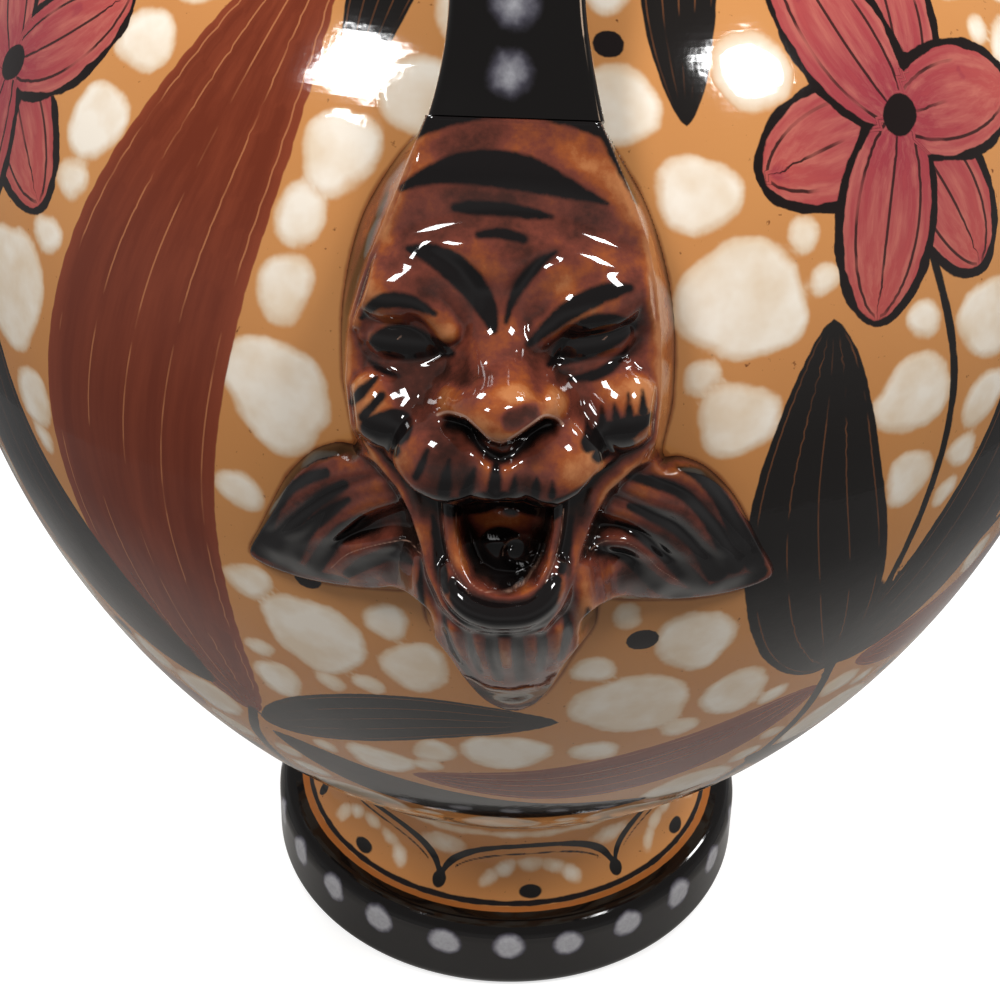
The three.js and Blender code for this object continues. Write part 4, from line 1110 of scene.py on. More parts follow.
def face_height(u, v):
    """Forehead, brows, eyes, nose, muzzle and cheeks, cut off along the lip and under the cheeks."""
    arch = v + 0.0145 * (u - 0.5) ** 2 * ease(v, 12, 22)
    crown = sum(by_height(arch + lift, CROWN) for lift in (-1, -0.5, 0, 0.5, 1)) / 5
    reach = by_height(v, [(42, 12.3), (35, 14.6), (29, 16.4), (23, 18.2), (15, 20.4), (6, 20.9), (-3, 20)])
    drop = by_height(v, [(42, 0), (38, 0.3), (33, 1.2), (28, 2.0), (22, 3.2), (15, 4.0), (6, 3.6), (-10, 3)])
    face = crown - drop * (np.abs(u) / reach) ** 2.6
    # sockets, then what stands up out of them
    for socket in ((-12.6, 12.2, 7.4, 3.9, -6), (11.6, 13.0, 7.2, 3.9, 20)):
        face = face - 3.2 * np.exp(-(ellipse(u, v, *socket) ** 1.4))
    face = raise_forms(face, u, v, BROWS)
    face = blend_max(face, dome(u, v, -12.7, 12.1, 5.6, 3.3, 13.3, 2.8, -4) + 0.28 * (v - 12.1), 0.35)
    face = blend_max(face, dome(u, v, 11.3, 13.6, 5.6, 3.2, 13.8, 2.9, 20)
        + 0.12 * (v - 13.5 - 0.36 * (u - 11.3)), 0.35)
    face = raise_forms(face, u, v, LIDS)
    # frown between the brows
    for line, deep, wide in FROWN:
        face = face - deep * np.exp(-((near_line(u, v, line) / wide) ** 2))
    # nose
    nose = tube(u, v, [(-0.8, 20, 15.6), (-0.9, 16, 15.9), (-0.8, 13.2, 17.0), (-0.7, 10.6, 19.6),
        (-0.5, 8.2, 22.8), (-0.4, 6.2, 24.8), (-0.4, 4.0, 25.6)], 4.0, 3.6)
    nose = raise_forms(nose, u, v, NOSE)
    nose = nose - 0.5 * np.exp(-ellipse(u, v, 2.0, 4.4, 2.0, 1.8))
    edge = over_edge(u, v, NOSE_EDGE)
    nose = nose - 4.4 * ease(-edge, -0.2, 0.8) - 3.0 * np.clip(-edge - 0.8, 0, None)
    # muzzle
    muzzle = dome(u, v, -7.6, -2.4, 7.2, 7.2, 20.6, 7.4, 8)
    muzzle = raise_forms(muzzle, u, v, MUZZLE)
    muzzle = muzzle - 0.8 * np.exp(-(((u + 0.8) / 0.8) ** 2)) * ease(v, -7.5, -5) * ease(-v, -1, 1)
    nostrils = [(-6.9, 2.5), (-4.6, 2.0), (-3.2, 0.3), (-1.9, -0.9), (-0.5, -1.5), (1.2, -0.9),
        (2.7, 0.6), (4.3, 1.9), (6.0, 2.5)]
    muzzle = muzzle - 1.5 * np.exp(-((near_line(u, v, nostrils) / 0.85) ** 2))
    cheeks = blend_max(dome(u, v, -15.9, 3.4, 5.3, 5.9, 15.0, 6.2, 12),
        dome(u, v, 15.2, 4.6, 5.4, 5.9, 15.0, 6.2, -14), 0.5)
    face = blend_max(face, cheeks, 1.3)
    face = blend_max(face, muzzle, 0.9)
    face = blend_max(face, nose, 0.6)
    inward = over_edge(u, v, UPPER_EDGE) * 0.92
    turned = np.clip(1 - inward / 1.3, 0, 1)
    return face - 1.6 * (1 - np.sqrt(1 - turned**2)) - 60 * np.clip(-inward, 0, None)


def jaw_height(u, v):
    """The U of the lower jaw: outer rim, channel, inner rim and the rolled lip, over the chin."""
    rim = tube(u, v, [(-7.7, -6, 11.4), (-7.5, -9, 11.9), (-7.2, -12, 12.6), (-6.6, -15, 13.4),
        (-5.6, -17.6, 14.1), (-4.0, -19.6, 14.7), (-1.8, -20.5, 15.1), (0, -20.6, 15.2),
        (2.4, -20.1, 15.0), (4.4, -18.3, 14.4), (5.6, -15.2, 13.4), (6.4, -12, 12.6), (6.8, -9, 11.9),
        (7.0, -6, 11.4)], 1.3, 2.2)
    roll = tube(u, v, [(-6.8, -18.4, 13.2), (-6.2, -20.4, 14.9), (-4.5, -22.1, 15.9), (-2, -22.9, 16.4),
        (0.4, -22.9, 16.4), (2.9, -22.5, 16.0), (5.0, -21.1, 15.2), (6.2, -18.8, 14.0),
        (6.5, -17.4, 12.8)], 2.3, 3.2)
    outer = tube(u, v, [(-13.0, -6, 9.4), (-12.0, -9, 9.6), (-11.2, -12, 9.8), (-10.0, -15.4, 10.4),
        (-9.2, -18.6, 11.0), (-8.2, -21.8, 11.6), (-6.2, -24.2, 12.6), (-3.2, -25.0, 13.4),
        (1, -25.0, 13.6), (4.8, -24.0, 13.2), (6.9, -22.0, 12.4), (8.2, -19.2, 11.4), (9.1, -15.3, 10.4),
        (10.3, -11, 9.6), (11.6, -7, 9.4)], 1.3, 3.8)
    chin = dome(u, v, -0.6, -22.8, 8.2, 3.9, 13.8, 6)
    gum = by_height(v, [(-4, 9), (-10, 9.4), (-16, 10.2), (-20, 11.4), (-24, 11.6)])
    gum = gum - 9 * np.clip(-polygon_depth(u, v, HEAD_EDGE) - 0.2, 0, None)
    jaw = blend_max(gum, chin, 0.8)
    jaw = blend_max(jaw, outer, 0.6)
    jaw = blend_max(jaw, rim, 0.35)
    return blend_max(jaw, roll, 0.45)


def mouth_height(u, v):
    """The palate slanting in from the lip, the floor of the mouth and the tongue's tip."""
    palate = np.interp(v, [-15.4, -13.6, -9.5, -6], [4.0, 5.8, 9.8, 12.4])
    palate = palate - 1.3 * np.exp(-ellipse(u, v, 0.6, -9.4, 2.2, 1.3))
    mouth = blend_max(4.4 + 0 * u, palate, 0.5)
    mouth = mouth + 1.2 * np.exp(-ellipse(u, v, -0.4, -17.0, 4.2, 2.8))
    bubble = np.hypot(u - 2.0, v + 16.4)
    mouth = mouth + 0.9 * np.sqrt(np.clip(1 - (bubble / 2.3) ** 2, 0, 1))
    return mouth + 0.25 * np.exp(-(((bubble - 2.45) / 0.25) ** 2))


# The mouth's opening, right-hand half
MOUTH_HOLE = [(6.3, -5), (6.0, -12), (5.2, -16), (3.9, -18.5), (1.6, -19.7), (0, -19.8)]


def beard_height(u, v, body):
    """A curtain of locks under the chin, side locks, and the tuft at the tip."""
    sunk = body - 0.4
    crest = by_height(v, [(-14, 9), (-20, 10.5), (-25, 11.2), (-27, 10.6), (-29, 8.8), (-31, 6.4),
        (-33, 3.6), (-35, 0.8), (-37, -2.4), (-38.6, -5.6), (-40, -8.6), (-42, -12.2), (-44, -15.8),
        (-46, -20.2), (-48.6, -27)])
    half = by_height(v, [(-14, 12.6), (-22, 13.0), (-27, 13.2), (-31, 12.6), (-35, 10.4), (-38, 9.1),
        (-40.5, 7.9), (-43, 6.5), (-45.9, 4.6), (-48, 2.2), (-48.8, 0.8)])
    share = np.clip(np.abs(u + 0.2) / half, 0, 1)
    crest = crest - 0.7 * ease(-over_edge(u, v, CURTAIN_EDGE), -0.9, 1.5)
    main = sunk + (crest - sunk) * (1 - share**2.3) ** 0.5
    for line, radius in LOCKS:
        main = blend_max(main, tube(u, v, line, radius, radius * 1.1), 0.5)
    return main


def ruff_height(u, v, body):
    """Laid-on ruffs: four lobes that fan down and out, over a rolled lower lobe."""
    side = np.abs(u)
    sheet = body + by_height(side, [(50, 1.2), (40, 1.4), (30, 2.2), (20, 4.2), (14, 5.6), (0, 6)])
    sheet = sheet - 2.6 * ease(-v, 15, 19)
    for line, radius in RUFF_RIDGES:
        sheet = blend_max(sheet, tube(u, v, line, radius, radius * 1.25), 0.4)
    for line in RIMS:
        sheet = sheet + 1.1 * np.exp(-((near_line(u, v, line) / 0.6) ** 2))
    return sheet


# The black brush strokes of the mask
BRUSH_STROKES = [
    # forehead crescent, stripe and mark
    [(-13.2, 32.0, 0.5), (-10.6, 33.3, 1.0), (-6.3, 34.6, 1.9), (-1.9, 34.9, 2.4), (2.8, 34.3, 2.3),
        (7.2, 32.9, 1.5), (10.4, 31.9, 0.8), (13.0, 31.0, 0.25)],
    [(-6.4, 29.8, 0.6), (-4, 29.9, 0.95), (0, 29.8, 0.95), (3.4, 29.4, 0.75), (6, 29.1, 0.3)],
    [(-3.2, 26.5, 0.5), (-0.6, 26.8, 0.75), (2.3, 26.2, 0.7)],
    # frown
    [(-12.4, 24.4, 0.4), (-9.6, 23.9, 1.3), (-6.4, 22.2, 1.9), (-4.0, 19.9, 1.8), (-2.3, 17.2, 1.4),
        (-1.4, 14.8, 0.7)],
    [(6.5, 24.7, 0.2), (4.4, 23.2, 0.7), (2.3, 20.8, 0.8), (0.9, 18.2, 0.55), (0.2, 15.6, 0.3)],
    # brows
    [(-18.8, 15.2, 0.3), (-16.9, 17.0, 0.8), (-14.2, 17.9, 1.05), (-11.4, 17.5, 0.9), (-8.9, 16.3, 0.35)],
    [(3.2, 12.9, 0.5), (6.3, 15.8, 1.1), (9.2, 18.1, 1.3), (13.2, 20.0, 1.2), (15.9, 20.5, 0.6)],
    # eyes
    [(-17.8, 12.0, 0.3), (-15.8, 12.3, 1.7), (-13.4, 12.4, 2.4), (-11, 12.1, 1.9), (-8.8, 11.8, 1.2),
        (-6.9, 11.2, 0.5)],
    [(5.8, 10.4, 0.4), (8.2, 12.2, 1.9), (11.2, 14.1, 2.7), (13.6, 15.0, 2.3), (16.4, 15.6, 0.8)],
    [(8.4, 8.4, 0.3), (10.9, 8.9, 0.75), (13.0, 9.7, 0.8), (15.0, 11.3, 0.6), (16.0, 12.8, 0.2)],
    [(-18.2, 9.6, 0.2), (-16.4, 8.6, 0.5), (-14, 7.9, 0.3)],
    # left cheek: two slanting strokes over a dark lower half
    [(-20.6, 3.8, 0.5), (-18.8, 5.6, 0.8), (-16.8, 7.6, 0.35)], [(-18.6, 2.4, 0.7), (-16.0, 5.4, 0.6)],
    [(-17.4, 1.0, 1.7), (-14.4, 1.4, 2.4), (-12.8, 2.2, 1.0)], [(-16.8, -1.0, 1.0), (-14.2, -1.4, 1.0)],
    # right cheek: a comb of short strokes over a dark lower half
    [(11.0, 0.8, 1.2), (13.6, 1.4, 1.9), (16.6, 2.8, 1.5), (18.8, 3.8, 0.8)],
    [(11.0, 1.4, 0.9), (10.6, 3.4, 0.2)], [(12.8, 2.0, 0.9), (12.6, 5.2, 0.15)],
        [(14.6, 3.0, 0.8), (14.2, 5.6, 0.15)],
    [(16.2, 3.8, 0.75), (16.0, 7.0, 0.15)], [(18.0, 4.6, 0.7), (17.9, 7.4, 0.15)],
        [(12.4, -0.8, 1.1), (16.0, 0.2, 1.1)],
    # under the nose and down the lip
    [(-7.2, 2.3, 0.3), (-5.4, 2.5, 0.55), (-3.9, 1.2, 0.7), (-2.4, -0.4, 0.7), (-0.5, -1.3, 0.75),
        (1.2, -0.7, 0.6), (2.8, 0.8, 0.55), (4.6, 2.0, 0.4), (6.2, 2.4, 0.2)],
    [(-0.9, -2.2, 0.5), (-1.0, -4.2, 0.8), (-1.2, -6.2, 1.0)],
    [(-9.6, -0.8, 0.3), (-10.4, -2.8, 0.6), (-11.2, -4.4, 0.5)],
        [(-6.8, -1.8, 0.2), (-7.3, -4.4, 0.8), (-7.6, -6.4, 0.9)],
    [(-3.6, -2.8, 0.2), (-4.3, -4.8, 0.7), (-4.9, -6.6, 0.9)],
        [(1.6, -3.4, 0.15), (1.4, -4.9, 0.6), (1.2, -6.4, 0.7)],
    [(4.3, -3.6, 0.15), (4.2, -5.0, 0.6), (4.0, -6.6, 0.7)],
        [(6.3, -4.0, 0.1), (6.3, -5.2, 0.45), (6.2, -6.2, 0.5)],
    # mouth, lower lip and chin
    [(-0.6, -15.4, 3.0), (0.2, -17.0, 3.2)], [(0.6, -9.0, 1.3), (0.7, -9.6, 1.2)],
    [(-13.0, -5.8, 0.4), (-11.8, -7.0, 0.9), (-8.9, -8.2, 1.6), (-6.2, -8.8, 2.0), (-4.2, -8.6, 2.1),
        (-2.1, -7.9, 2.1), (0.4, -7.6, 2.1), (2.5, -8.2, 2.1), (5.1, -8.7, 2.0), (6.9, -8.2, 1.8),
        (9.8, -6.3, 1.3), (11.9, -3.9, 0.5)],
    [(-6.9, -19.2, 0.8), (-5.8, -21, 1.5), (-4, -22.3, 1.8), (-0.5, -22.9, 1.9), (3.4, -22.4, 1.9),
        (5.4, -20.9, 1.7), (6.7, -18.4, 1.0)],
    [(-9.8, -11, 0.4), (-9.2, -14, 0.75), (-8.6, -17.4, 0.9), (-7.8, -20.2, 0.7)],
        [(8.9, -10.4, 0.4), (8.2, -14, 0.7), (7.6, -17, 0.7)],
    [(-7.0, -23.0, 0.6), (-4.2, -24.8, 1.2), (-1, -25.4, 1.4), (2, -25.2, 1.4), (4.6, -24.2, 1.1),
        (6.8, -21.8, 0.5)],
    # beard
    [(-5.0, -26.8, 0.4), (-4.6, -30.5, 0.75), (-3.8, -35, 0.5)],
        [(-1.8, -27.2, 0.9), (-1.7, -30.4, 1.0), (-1.2, -35.6, 0.8)],
    [(1.6, -27.2, 0.8), (1.7, -30.6, 0.9), (1.8, -35.8, 0.6)],
        [(4.9, -26.6, 0.7), (5.0, -30, 0.8), (4.6, -34.0, 0.5)],
    [(8.2, -24.4, 0.4), (8.5, -27.4, 0.8), (7.6, -31.8, 0.5)],
        [(11.2, -23.4, 0.3), (11.3, -25.6, 0.8), (10.8, -28.4, 0.3)],
    [(-8.6, -25.0, 0.3), (-7.8, -30, 0.7), (-6.0, -35, 0.7), (-4.4, -38.2, 0.4)],
        [(-4.8, -40.8, 0.8), (-1.4, -42.8, 1.9), (3, -42.0, 1.8), (5.8, -39.4, 0.7)],
    [(-11.4, -17.6, 0.3), (-11.8, -22, 0.6), (-11.4, -27, 0.4)],
    # left ruff
    [(-20.6, -3.4, 0.3), (-24.4, -4.0, 0.8), (-28, -5.2, 1.1), (-31.6, -8.2, 1.1), (-34.6, -12.8, 1.5),
        (-37.2, -17.2, 1.9), (-39.0, -20.6, 1.2)],
    [(-25.4, -7.0, 0.8), (-28.6, -8.4, 0.9), (-31.6, -10.8, 0.8), (-34.6, -15.0, 1.0), (-36.6, -18.8, 1.8)],
    [(-22.8, -8.4, 0.8), (-26.2, -10.8, 1.0), (-29.4, -13.8, 1.1), (-32.8, -17.6, 1.6), (-35.4, -21.2, 1.9)],
    [(-22.2, -10.6, 0.4), (-25.8, -13.2, 1.0), (-29.4, -16.6, 1.3), (-32.4, -20.6, 2.0), (-33, -22.4, 1.2)],
    [(-20.4, -13.2, 0.6), (-23.6, -15.6, 1.1), (-26.8, -19.8, 1.3), (-28.8, -22.8, 1.3)],
    [(-13.2, -18.2, 0.5), (-16.6, -18.6, 1.0), (-20.2, -20.4, 1.1), (-23.6, -23, 0.8)],
        [(-24, -24.4, 0.4), (-31, -23.4, 0.9), (-37.6, -21.2, 1.2)],
    # right ruff
    [(23.6, -4.2, 0.3), (27.0, -5.6, 1.0), (29.8, -8.6, 1.2), (32.4, -13.0, 1.4), (35.0, -17.6, 1.9),
        (37.4, -21.6, 1.2)],
    [(16.6, -5.2, 0.5), (20.4, -6.2, 0.9), (24.0, -7.6, 0.9), (27.0, -10.4, 0.9), (30.2, -14.6, 1.3),
        (33, -19.4, 2.0)],
    [(17.0, -9.6, 0.6), (20.4, -11.0, 1.1), (23.8, -13.0, 1.1), (27.2, -16.4, 1.2), (30.4, -20.6, 2.0)],
    [(15.4, -12.4, 0.5), (18.8, -14.0, 0.9), (22.4, -17, 1.3), (25.6, -20.8, 1.4), (28.6, -23.6, 1.2)],
    [(12.8, -16.0, 0.5), (16.2, -16.9, 0.8), (19, -19.8, 1.0), (22.4, -23.2, 1.2), (26.4, -24.8, 0.8)],
        [(25, -24.4, 0.5), (31, -23.4, 1.0), (36.6, -22.4, 1.1)],
    # flank lines, and the strap's black running down to its arc
    [(-15.6, 31.4, 0.2), (-18.0, 25.6, 0.5), (-20.6, 18.6, 0.65), (-22.3, 12.3, 0.75), (-22.9, 7.0, 0.7),
        (-22.0, 1.6, 0.3)],
    [(12.7, 40, 1.0), (14.6, 36, 0.8), (17.0, 31.4, 0.35)],
]


def mask_brushwork(u, v):
    """The black strokes of the mask, as distance to the nearest edge."""
    arc = v - (41.2 - 0.019 * (u - 1.4) ** 2)
    return np.minimum(strokes_edge(u, v, BRUSH_STROKES), -arc)


# The jaw's rim, inside and out, and painted highlights along the tops of the rolled lobes; then painted
# catch-lights in the eyes, and the plate's edges, partly painted highlight
PALE_LINES_AND_GLINTS = [
    [(-8.5, -9), (-8.2, -12.4), (-7.6, -15.4), (-6.5, -18.0), (-4.6, -20.3)],
        [(7.8, -9), (7.4, -12.4), (6.7, -15.6), (5.4, -18.6)],
    [(-6.6, -10), (-6.2, -14), (-5.4, -17.2), (-4.2, -19.1), (-2.2, -20.0), (0.6, -20.0), (3.0, -18.9),
        (4.6, -16.6), (5.8, -12.6), (6.2, -10)],
    # painted highlights along the tops of the rolled lobes
    [(-11.5, -16.6), (-14.2, -16.0), (-17.2, -16.7), (-20.5, -18.0), (-23.4, -19.6), (-26.2, -22.4)],
    [(11.6, -15.8), (14, -14.7), (16.8, -15.0), (19.2, -16.8), (21.6, -19.6), (24.6, -22.0)],
    [(-0.5, -16.8), (-0.3, -15.6), (0.5, -14.6), (1.8, -14.1)], CURTAIN_EDGE[1:-1],
    # painted catch-lights: a short pale stroke in the middle of each eye
    [(-14.0, 12.7), (-13.7, 12.95), (-13.4, 13.2)], [(12.6, 13.7), (12.9, 13.95), (13.2, 14.2)],
    # the plate's edges: a pale line where the glaze thins, partly painted highlight
    [(-9.9, 41.4), (-10.8, 39.4), (-12.4, 35.8), (-14.0, 31.8)],
        [(11.9, 41.4), (13.2, 38.9), (14.8, 35.2)], [(13.9, 38.8), (15.6, 35.8), (17.4, 32.4)],
]


# Patches of thin or thick glaze: (u, v, half width, half height, turn, amount)
GLAZE_ZONES = [
    # forehead and flanks
    (9.6, 36.2, 4.6, 1.9, -30, -0.34), (-10.6, 34.6, 2.4, 1.6, 30, -0.14),
        (15.4, 31.0, 2.2, 3.6, 20, -0.24), (-15.0, 26.6, 1.8, 3.0, -20, -0.16),
    (-8, 38, 5, 1.8, 20, 0.10), (0, 31.4, 8, 0.9, 0, 0.12), (19.4, 22, 1.4, 9, 6, -0.22),
        (21.6, 8, 1.6, 8, 0, -0.26), (-20.6, 24, 1.6, 8, -10, -0.10),
    # brows and lids
    (7.2, 20.8, 3.0, 1.6, 20, -0.30), (10.8, 17.2, 4.0, 0.8, 22, -0.14),
        (-9.6, 22.0, 1.6, 1.2, -40, -0.14), (-7.4, 13.6, 1.9, 1.5, -50, -0.30),
    (4.8, 16.0, 1.8, 2.4, 0, -0.10), (-11.8, 20.4, 3.0, 1.4, 0, 0.08), (-14.6, 14.8, 3.4, 0.8, 4, -0.42),
        (12.0, 17.6, 3.6, 0.6, 20, 0.02), (-0.8, 22.5, 2.0, 1.8, 0, -0.08),
    # nose, its wings and the thumbed patch
    (0.8, 9.6, 3.4, 1.6, 0, -0.12), (6.8, 6.0, 2.0, 2.2, 0, -0.28), (1.6, 7.5, 3.2, 0.8, 6, -0.22),
        (-5.8, 5.8, 2.4, 1.6, 0, 0.02), (-2.8, 6.0, 2.4, 2.4, 0, 0.10),
    (-2.6, 4.4, 1.6, 2.2, 0, -0.05),
    # cheeks and muzzle
    (15.4, 7.0, 3.6, 2.0, 10, -0.42), (-18.2, 5.6, 2.0, 2.4, 0, -0.20), (-13.2, 6.6, 2.4, 1.6, 0, 0.18),
        (8.8, -2.4, 2.4, 2.0, 0, -0.22), (3.6, -2.4, 2.0, 1.4, 0, -0.16),
    (-8.8, 1.0, 3.4, 2.2, 0, 0.26), (8.2, 1.6, 2.6, 1.6, 0, 0.12), (-6.6, -4.4, 4.2, 2.0, 0, 0.28),
        (5.2, -5.4, 5.0, 1.5, -8, 0.26), (-6.8, -0.6, 3.4, 2.2, 0, 0.14),
        (-9.4, -6.4, 3.0, 1.0, 20, 0.24), (0, -6.4, 3.0, 1.0, 0, 0.26),
    # mouth, jaw and chin
    # the first patch lightens the palate with thin glaze: painted reflection of light into the mouth
    (0, -10.8, 5.4, 2.4, 0, -0.34), (-5.2, -14, 1.0, 3.8, 0, 0.10), (-7.2, -13, 1.2, 4.6, 0, 0.22),
        (-12.4, -9.5, 1.4, 4.6, -14, 0.25), (10.9, -11.5, 1.3, 5, 10, 0.22),
        (-4.2, -18.9, 2.2, 1.5, -30, 0.30), (4.2, -18.0, 1.8, 2.4, 20, 0.26),
        (9.6, -17.5, 0.9, 4.0, 8, -0.12), (-10.6, -12.5, 1.0, 3.4, -10, 0.12),
    (-8.9, -16, 0.9, 5.0, -12, 0.30), (8.4, -15, 0.8, 4.6, 10, 0.30), (0, -22.8, 7.4, 1.6, 0, 0.26),
        (0, -20.7, 5.4, 1.1, 0, 0.40), (6.8, -13, 1.2, 4.2, 0, 0.24), (-11.2, -9, 1.6, 4.4, -24, 0.30),
        (11.0, -9, 1.6, 4.4, 24, 0.28),
    # beard
    (-0.4, -30.4, 0.9, 2.8, 0, -0.28), (-4.6, -29.4, 0.8, 1.8, 0, -0.16),
        (10.6, -24.6, 1.0, 3.4, 0, -0.24), (-11.0, -24.6, 1.2, 4.0, 0, -0.04),
        (0, -42.5, 6.5, 3.6, 0, 0.24),
    (0, -34, 9, 3.6, 0, 0.08), (6.2, -29.6, 1.2, 2.6, 0, -0.05),
    # ruffs: brown at the roots, nearly black at the tips
    (-32.5, -17, 6.6, 6.4, 0, 0.30), (31.5, -18, 6.6, 6.4, 0, 0.30), (-24.6, -11, 6.0, 5.6, 0, 0.20),
        (23, -12, 6.0, 5.6, 0, 0.20), (-18.4, -6.6, 2.6, 3.0, 0, -0.12),
    (17.8, -8.4, 3.2, 3.0, 0, -0.20), (-26.2, -15.4, 3.0, 1.0, 40, -0.12),
        (-14.6, -17.0, 5.0, 1.5, 0, 0.42), (15.6, -16.2, 4.6, 1.6, 0, 0.36),
        (20.2, -5.2, 3.4, 1.4, -20, -0.14), (-17.6, -21.6, 6.0, 2.6, 0, 0.16),
        (18.4, -21.6, 6.0, 2.6, 0, 0.16),
    (14.2, -18.8, 1.8, 1.2, 0, -0.30), (-23.4, -5.0, 3.6, 1.2, 12, -0.10),
]


def glaze_zones(u, v):
    """Where the glaze was wiped thin over the clay (below zero), or lies thick and dark (above it)."""
    total = 0.5 * ease(-strokes_edge(u, v, [[(1.5, 4.1, 1.3), (3.3, 4.7, 1.35)]]), -0.6, 0.3)
    for *zone, amount in GLAZE_ZONES:
        total += amount * np.exp(-ellipse(u, v, *zone))
    return total


def mask_rims_and_glints(u, v):
    """Sharp edges where the glaze breaks to a thin pale line, painted highlights on the lobe tops,
    painted catch-lights in the eyes, and the plate's edges, partly painted highlight.
    """
    edge = near_line(u, v - 0.3, NOSE_EDGE[2:-1]) - 0.17
    lip = near_line(u, v - 0.15, LIP_EDGE[1:-1]) - 0.04
    return np.minimum.reduce([edge, lip] + [near_line(u, v, line) - 0.02 for line in PALE_LINES_AND_GLINTS])


def blur(field, sigma):
    """Gaussian blur, sigma in grid steps."""
    pad = int(4 * sigma) + 1
    wide = np.pad(field, pad, mode="edge")
    shape = wide.shape
    fu, fv = np.meshgrid(np.fft.fftfreq(shape[0]), np.fft.rfftfreq(shape[1]), indexing="ij")
    gauss = np.exp(-2 * (math.pi * sigma) ** 2 * (fu**2 + fv**2))
    return np.fft.irfft2(np.fft.rfft2(wide) * gauss, shape)[pad:-pad, pad:-pad]


class Relief:
    """The mask on a fine grid: its height, the belly behind it, and its brushwork."""

    def __init__(self, profiles, step):
        self.step, self.origin = step, mask_origin(profiles)
        u, v = (np.arange(low, high + 0.01, step) for low, high in RELIEF_SPAN)
        self.u, self.v = np.meshgrid(u, v, indexing="ij")
        self.body = self.behind(profiles)
        u, v, body = self.u, self.v, self.body
        self.depth = polygon_depth(u, v, mask_rim())
        mid_u, mid_v = self.middle(u), self.middle(v)
        self.piece_depth = {name: polygon_depth(mid_u, mid_v, line) for name, line in mask_outlines().items()}
        height = self.join(u, v, body)
        # the glaze rounds every crack: a little on the face, more on the beard and the ruffs
        loose = ease(-polygon_depth(u, v, HEAD_EDGE), -0.4, 0.8) * ease(-v, -2, 4)
        melted = np.exp(-(((np.abs(u) - 11.0) / 4.4) ** 4 + ((v - 5.6) / 4.8) ** 4)) + ease(-v, 32.5, 35.5)
        melted = melted + np.exp(-(((u + 0.6) / 5) ** 4 + ((v - 10.6) / 4.0) ** 4))
        melted = np.clip(melted + ease(-v, 16.5, 19) * ease(np.abs(u), 13, 15), 0, 1)
        crisp, soft = blur(height, 0.17 / step), blur(height, 0.45 / step)
        crisp = crisp + (soft - crisp) * loose
        height = self.trim(u, v, body, crisp + (blur(height, 1.1 / step) - crisp) * melted)
        self.h = np.where(self.depth < 0.3, height, blur(height, 0.1 / step))
        self.paint()

    @staticmethod
    def middle(field):
        """The field's value in the middle of each cell."""
        return (field[1:, 1:] + field[:-1, 1:] + field[1:, :-1] + field[:-1, :-1]) / 4

    def world(self, h):
        """Points in space from heights over the mask's plane."""
        lean = self.u + (MASK_TOP - self.v) * MASK_LEAN
        return self.origin + np.stack([lean, self.v, h], -1) @ MASK_AXES

    def behind(self, profiles):
        """Height of the belly's surface in the mask's plane."""
        low, high = np.full(self.u.shape, -DEEPEST), np.full(self.u.shape, DEEPEST)
        for _ in range(22):
            h = (low + high) / 2
            p = self.world(h)
            out = np.hypot(p[..., 0], p[..., 1]) > profiles.radius(p[..., 2])
            high, low = np.where(out, h, high), np.where(out, low, h)
        return low

    def join(self, u, v, body):
        """Lay the parts over each other: skin, ruffs and beard, then the jaw, and the face on top."""
        skirt = body + 6.6 - 4.2 * ease(-polygon_depth(u, v, HEAD_EDGE), -0.5, 3.5)
        ruff = ruff_height(u, v, body) - 14 * ease(-np.abs(u), -11.5, -8.5)
        low = blend_max(skirt, ruff, 0.8)
        beard = beard_height(u, v, body) - 30 * ease(v, -17, -12)
        low = blend_max(low, beard, 0.5)
        low = blend_max(low, jaw_height(u, v), 0.5)
        hole = ease(polygon_depth(u, v, both_sides(MOUTH_HOLE)), -0.35, 0.45)
        low = low + (mouth_height(u, v) - low) * hole
        return np.maximum(low, face_height(u, v))

    def trim(self, u, v, body, height):
        """Bring the edges down to the belly: a plate edge and a flank by the face, thin rims elsewhere."""
        inward = np.clip(self.depth, 0, None)
        plate = polygon_depth(u, v, PLATE_EDGE)
        edge = by_height(v, PLATE_RISE)
        corner = 1.3 * (np.sqrt(1 - np.clip(1 - plate / 1.3, 0, 1) ** 2) - 1)
        cap = edge + corner + 4.5 * np.clip(plate - 0.8, 0, None)
        share = inward / np.maximum(inward + np.clip(-plate, 0, None), 0.05)
        flank = body - 0.4 + (edge - 0.9 - body) * share**0.85
        wide = ease(v, -5, 1)
        thin = body - 0.4 + 1.7 * (1 - np.exp(-inward / 0.3)) + 2.2 * inward
        bearded = body - 0.4 + 5.5 * inward
        beard = ease(-np.abs(u), -18, -12) * ease(-v, 15, 20)
        limit = np.where(plate > 0, cap, flank) * wide + (1 - wide) * (thin + (bearded - thin) * beard)
        height = blend_min(height, limit, 0.35)
        height = height + (np.minimum(height, 13.88 + corner) - height) * ease(v, 34, 40)
        return np.where(self.depth < 0, body - 0.4, np.maximum(height, body - 0.4))

    def paint(self):
        """How thick the glaze lies, and the brush marks."""
        fine = np.clip(self.h - blur(self.h, 0.55 / self.step), -0.5, 0.35)
        broad = np.clip(self.h - blur(self.h, 1.9 / self.step), -2.2, 1.2)
        pool = 0.50 - 0.55 * fine - 0.13 * broad + glaze_zones(self.u, self.v)
        pool += 0.4 * ease(-self.depth, -2.4, -0.2) * ease(-self.v, 12, 18)
        self.pool = blur(np.clip(pool, 0, 1), 0.16 / self.step)
        self.brush = mask_brushwork(self.u, self.v)
        self.rim = mask_rims_and_glints(self.u, self.v)

